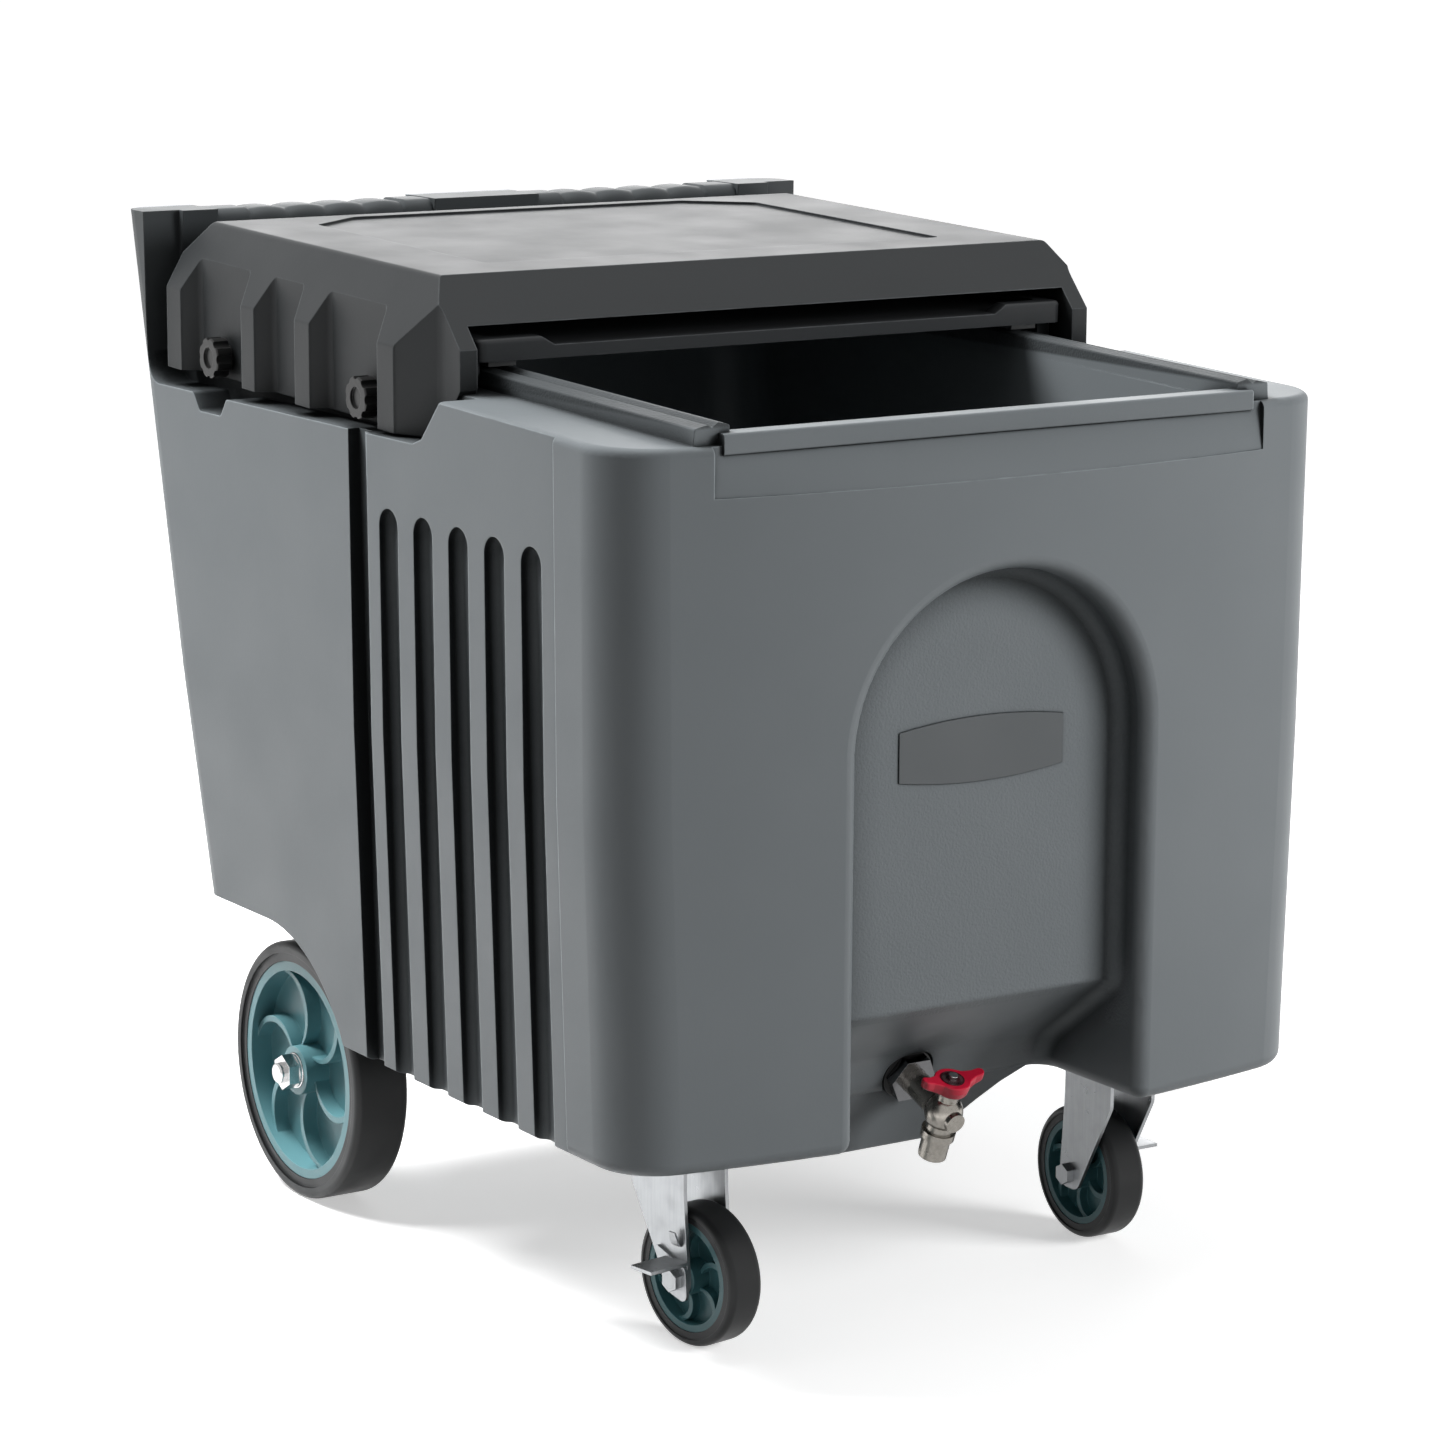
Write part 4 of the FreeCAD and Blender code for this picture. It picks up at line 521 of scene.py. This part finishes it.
def make_handle_insert():
    """Dark ribbed disc in the dish of the tap handle, with a small cross-head screw."""
    place = joint_frame("tap_turn")
    base = along("tap_handle", place)[1] - handle_insert_height * handle_insert_seat
    edge = handle_insert_radius
    low = base + handle_insert_height - handle_rib_height
    high = base + handle_insert_height

    def ribbed(share):
        return lambda i: (edge * share, high if i % 4 < 2 else low)

    rings = [(edge, base), (edge, high), (edge * 0.93, high), (edge * 0.91, low), ribbed(0.88),
             ribbed(0.6), (edge * 0.57, low), (edge * 0.54, high), (edge * 0.36, high)]
    disc = add_piece("tap_handle_insert", turned(rings, handle_rib_count * 4), place, "tap_turn",
                     insert_mat)
    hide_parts("tap_handle_nut")
    wide = handle_screw_radius
    top = base + handle_screw_height

    def lobed(share, height):
        return lambda i: (wide * share * (1.0 if i % 8 < 3 else screw_slot_share), height)

    rings = [(wide, high - handle_rib_height), (wide, high + (top - high) * 0.4), (wide * 0.8, top),
             lobed(0.6, top), lobed(0.5, top - screw_cross_depth)]
    add_piece("tap_handle_screw", turned(rings, screw_side_count), place, "tap_turn",
              chrome_mat)


hub_ring_radii = (0.0126, 0.0137)
hub_ring_sink = 0.0006
hub_ring_height = 0.0007
hub_ring_side_count = 48


def make_hub_rings():
    """Thin bright ring round each rear bearing, outside and inside."""
    inner, outer = hub_ring_radii
    middle = (inner + outer) / 2
    for side in ("left", "right"):
        place = joint_frame("rear_wheel_spin_" + side)
        ends = along("rear_bearing_" + side, place)
        for name, face, way in (("inner", ends[0], -1), ("outer", ends[1], 1)):
            foot = face - way * hub_ring_sink
            head = face + way * hub_ring_height
            crest = head + way * hub_ring_height / 3
            rings = [(inner, foot), (inner, head), (middle, crest), (outer, head), (outer, foot)]
            ring = turned(rings, hub_ring_side_count, True)
            add_piece("rear_hub_ring_%s_%s" % (side, name), ring, place, "rear_wheel_" + side,
                      steel_mat)


fork_face = 0.021
fork_tab_foot = 0.024
fork_tab_height = 0.011
fork_tab_half_width = 0.0038
fork_tab_sheet = 0.0014
fork_tab_lean = 0.0045
fork_tab_tip_share = 0.8


def make_fork_tabs():
    """Small bent tab above the axle on each fork's outer leg."""
    for side in ("left", "right"):
        joint = joints["caster_spin_" + side]
        out = Vector(joint["axis"]).normalized()
        up = Vector((0, 0, 1))
        along_leg = up.cross(out)
        turn = Matrix((out, along_leg, up)).transposed().to_4x4()
        place = Matrix.Translation(Vector(joint["pos_m"])) @ turn
        line = [(fork_face - fork_tab_sheet / 2, fork_tab_foot),
                (fork_face + fork_tab_sheet, fork_tab_foot + fork_tab_height * 0.15),
                (fork_face + fork_tab_lean * 0.6, fork_tab_foot + fork_tab_height * 0.45),
                (fork_face + fork_tab_lean, fork_tab_foot + fork_tab_height)]
        shape = bmesh.new()
        rows = []
        for reach, height in line:
            narrow = fork_tab_half_width * (fork_tab_tip_share if height == line[-1][1] else 1.0)
            rows.append([shape.verts.new((reach + thick, y, height)) for thick in (0, fork_tab_sheet)
                         for y in (-narrow, narrow)])
        for low, high in zip(rows, rows[1:]):
            for a, b in ((0, 1), (1, 3), (3, 2), (2, 0)):
                shape.faces.new((low[a], low[b], high[b], high[a]))
        shape.faces.new([rows[0][k] for k in (0, 1, 3, 2)])
        shape.faces.new([rows[-1][k] for k in (0, 1, 3, 2)])
        add_piece("caster_fork_tab_" + side, shape, place, "caster_swivel_" + side,
                  zinc_mat)


grip_ends = (0.046, 0.242)
grip_face = 0.3352
grip_back = 0.3775
grip_low = 0.732
grip_top = 0.7466
grip_round = 0.009
grip_dip = 0.0026
grip_fingers = (0.16, 0.86)
grip_finger_count = 4
grip_station_count = 121
grip_arc_count = 6
grip_bump_power = 0.6
grip_face_dip_share = 0.6


def grip_row(x, dip):
    """One section of a grip bar: upright sides and a rounded top."""
    face = grip_face + dip * grip_face_dip_share
    top = grip_top - dip
    points = [(face, grip_low)]
    for middle, start in ((face + grip_round, 180), (grip_back - grip_round, 90)):
        for k in range(grip_arc_count + 1):
            angle = math.radians(start - 90 * k / grip_arc_count)
            height = top + grip_round * (math.sin(angle) - 1)
            points.append((middle + grip_round * math.cos(angle), height))
    points.append((grip_back, grip_low))
    return [(x, y, z) for y, z in points]


def make_grip_bars():
    """Rounded caps with finger bumps, which bring both grip bars up to the posts."""
    inner, outer = grip_ends
    first, last = grip_fingers
    for way, side in ((-1, "left"), (1, "right")):
        shape = bmesh.new()
        rows = []
        for i in range(grip_station_count):
            share = i / (grip_station_count - 1)
            finger = (share - first) / (last - first) * grip_finger_count
            dip = 0.0
            if 0 < finger < grip_finger_count:
                dip = grip_dip * (1 - abs(math.sin(math.pi * finger)) ** grip_bump_power)
            x = way * (outer + (inner - outer) * share)
            rows.append([shape.verts.new(point) for point in grip_row(x, dip)])
        count = len(rows[0])
        for low, high in zip(rows, rows[1:]):
            for i in range(count):
                j = (i + 1) % count
                shape.faces.new((low[i], low[j], high[j], high[i]))
        shape.faces.new(rows[0])
        shape.faces.new(rows[-1])
        bar = add_piece("grip_bar_" + side, shape, Matrix(), "bin", body_mat)
        for face in bar.data.polygons:
            face.use_smooth = len(face.vertices) == 4


make_handle()
make_handle_insert()
make_grip_bars()
make_hub_rings()
make_fork_tabs()


# ---- floor, light and camera ----
def seen_rays(tree):
    """One for camera, glossy and transmission rays."""
    path = add(tree, "ShaderNodeLightPath")
    seen = calculate(tree, "MAXIMUM", path.outputs["Is Camera Ray"], path.outputs["Is Glossy Ray"])
    return calculate(tree, "MAXIMUM", seen, path.outputs["Is Transmission Ray"])


def make_floor(size, near_lift, far_lift, near_distance, far_distance):
    mesh = bpy.data.meshes.new("floor")
    shape = bmesh.new()
    corners = [shape.verts.new((x * size, y * size, 0)) for x, y in ((-1, -1), (1, -1), (1, 1), (-1, 1))]
    shape.faces.new(corners)
    shape.to_mesh(mesh)
    shape.free()
    floor = bpy.data.objects.new("floor", mesh)
    bpy.context.scene.collection.objects.link(floor)
    material, tree, shader = new_material("pale_floor")
    drift = noise(tree, 3.0, 2.0)
    base = blended(tree, drift, scaled(floor_colour, 0.99), floor_colour)
    base = blended(tree, seen_rays(tree), bounce_colour, base)
    tree.links.new(base, shader.inputs["Base Color"])
    shader.inputs["Roughness"].default_value = 0.9
    shader.inputs["Specular IOR Level"].default_value = 0.1
    shader.inputs["Emission Color"].default_value = (*white_light, 1)
    away = add(tree, "ShaderNodeVectorMath", operation="LENGTH")
    tree.links.new(object_point(tree), away.inputs[0])
    glow = ramp(tree, away.outputs["Value"], near_lift, far_lift, near_distance, far_distance)
    seen_glow = calculate(tree, "MULTIPLY", seen_rays(tree), glow)
    tree.links.new(seen_glow, shader.inputs["Emission Strength"])
    floor.data.materials.append(material)


def make_world(level):
    world = bpy.data.worlds.new("studio")
    bpy.context.scene.world = world
    world.use_nodes = True
    tree = world.node_tree
    back = tree.nodes["Background"]
    back.inputs["Color"].default_value = (*white_light, 1)
    strength = calculate(tree, "MULTIPLY", seen_rays(tree), 1.0 - level)
    tree.links.new(calculate(tree, "ADD", strength, level), back.inputs["Strength"])


def area_light(name, place, target, size, power, glossy):
    data = bpy.data.lights.new(name, "AREA")
    data.shape = "RECTANGLE"
    data.size, data.size_y = size
    data.energy = power
    lamp = bpy.data.objects.new(name, data)
    lamp.location = place
    lamp.visible_glossy = glossy
    direction = Vector(target) - Vector(place)
    lamp.rotation_euler = direction.to_track_quat("-Z", "Y").to_euler()
    bpy.context.scene.collection.objects.link(lamp)


def make_camera():
    data = bpy.data.cameras.new("photo_camera")
    data.lens = camera_lens
    data.sensor_width = 36.0
    data.shift_x, data.shift_y = camera_shift
    data.clip_start, data.clip_end = 0.1, 200.0
    camera = bpy.data.objects.new("photo_camera", data)
    turn = Matrix.Rotation(math.radians(camera_yaw_deg), 4, "Z")
    tilt = Matrix.Rotation(math.radians(90 + camera_pitch_deg), 4, "X")
    roll = Matrix.Rotation(math.radians(camera_roll_deg), 4, "Z")
    camera.matrix_world = Matrix.Translation(camera_place) @ turn @ tilt @ roll
    bpy.context.scene.collection.objects.link(camera)
    bpy.context.scene.camera = camera


make_floor(60.0, 0.5, 0.95, 0.8, 3.0)
make_world(0.1)
area_light("left_key", (-1.2, 1.15, 2.6), (-0.3, 0.1, 0.5), (1.3, 1.1), 155, False)
area_light("front_soft", (2.3, -2.9, 1.6), (0.1, -0.3, 0.4), (1.5, 1.5), 138, False)
area_light("back_top", (1.9, 2.6, 1.6), (0, 0.1, 0.74), (2.4, 1.4), 22, True)
area_light("overhead", (-0.2, -0.2, 3.2), (0, 0, 0.5), (2.0, 2.0), 14, True)
make_camera()
bpy.context.scene.view_settings.view_transform = "Standard"
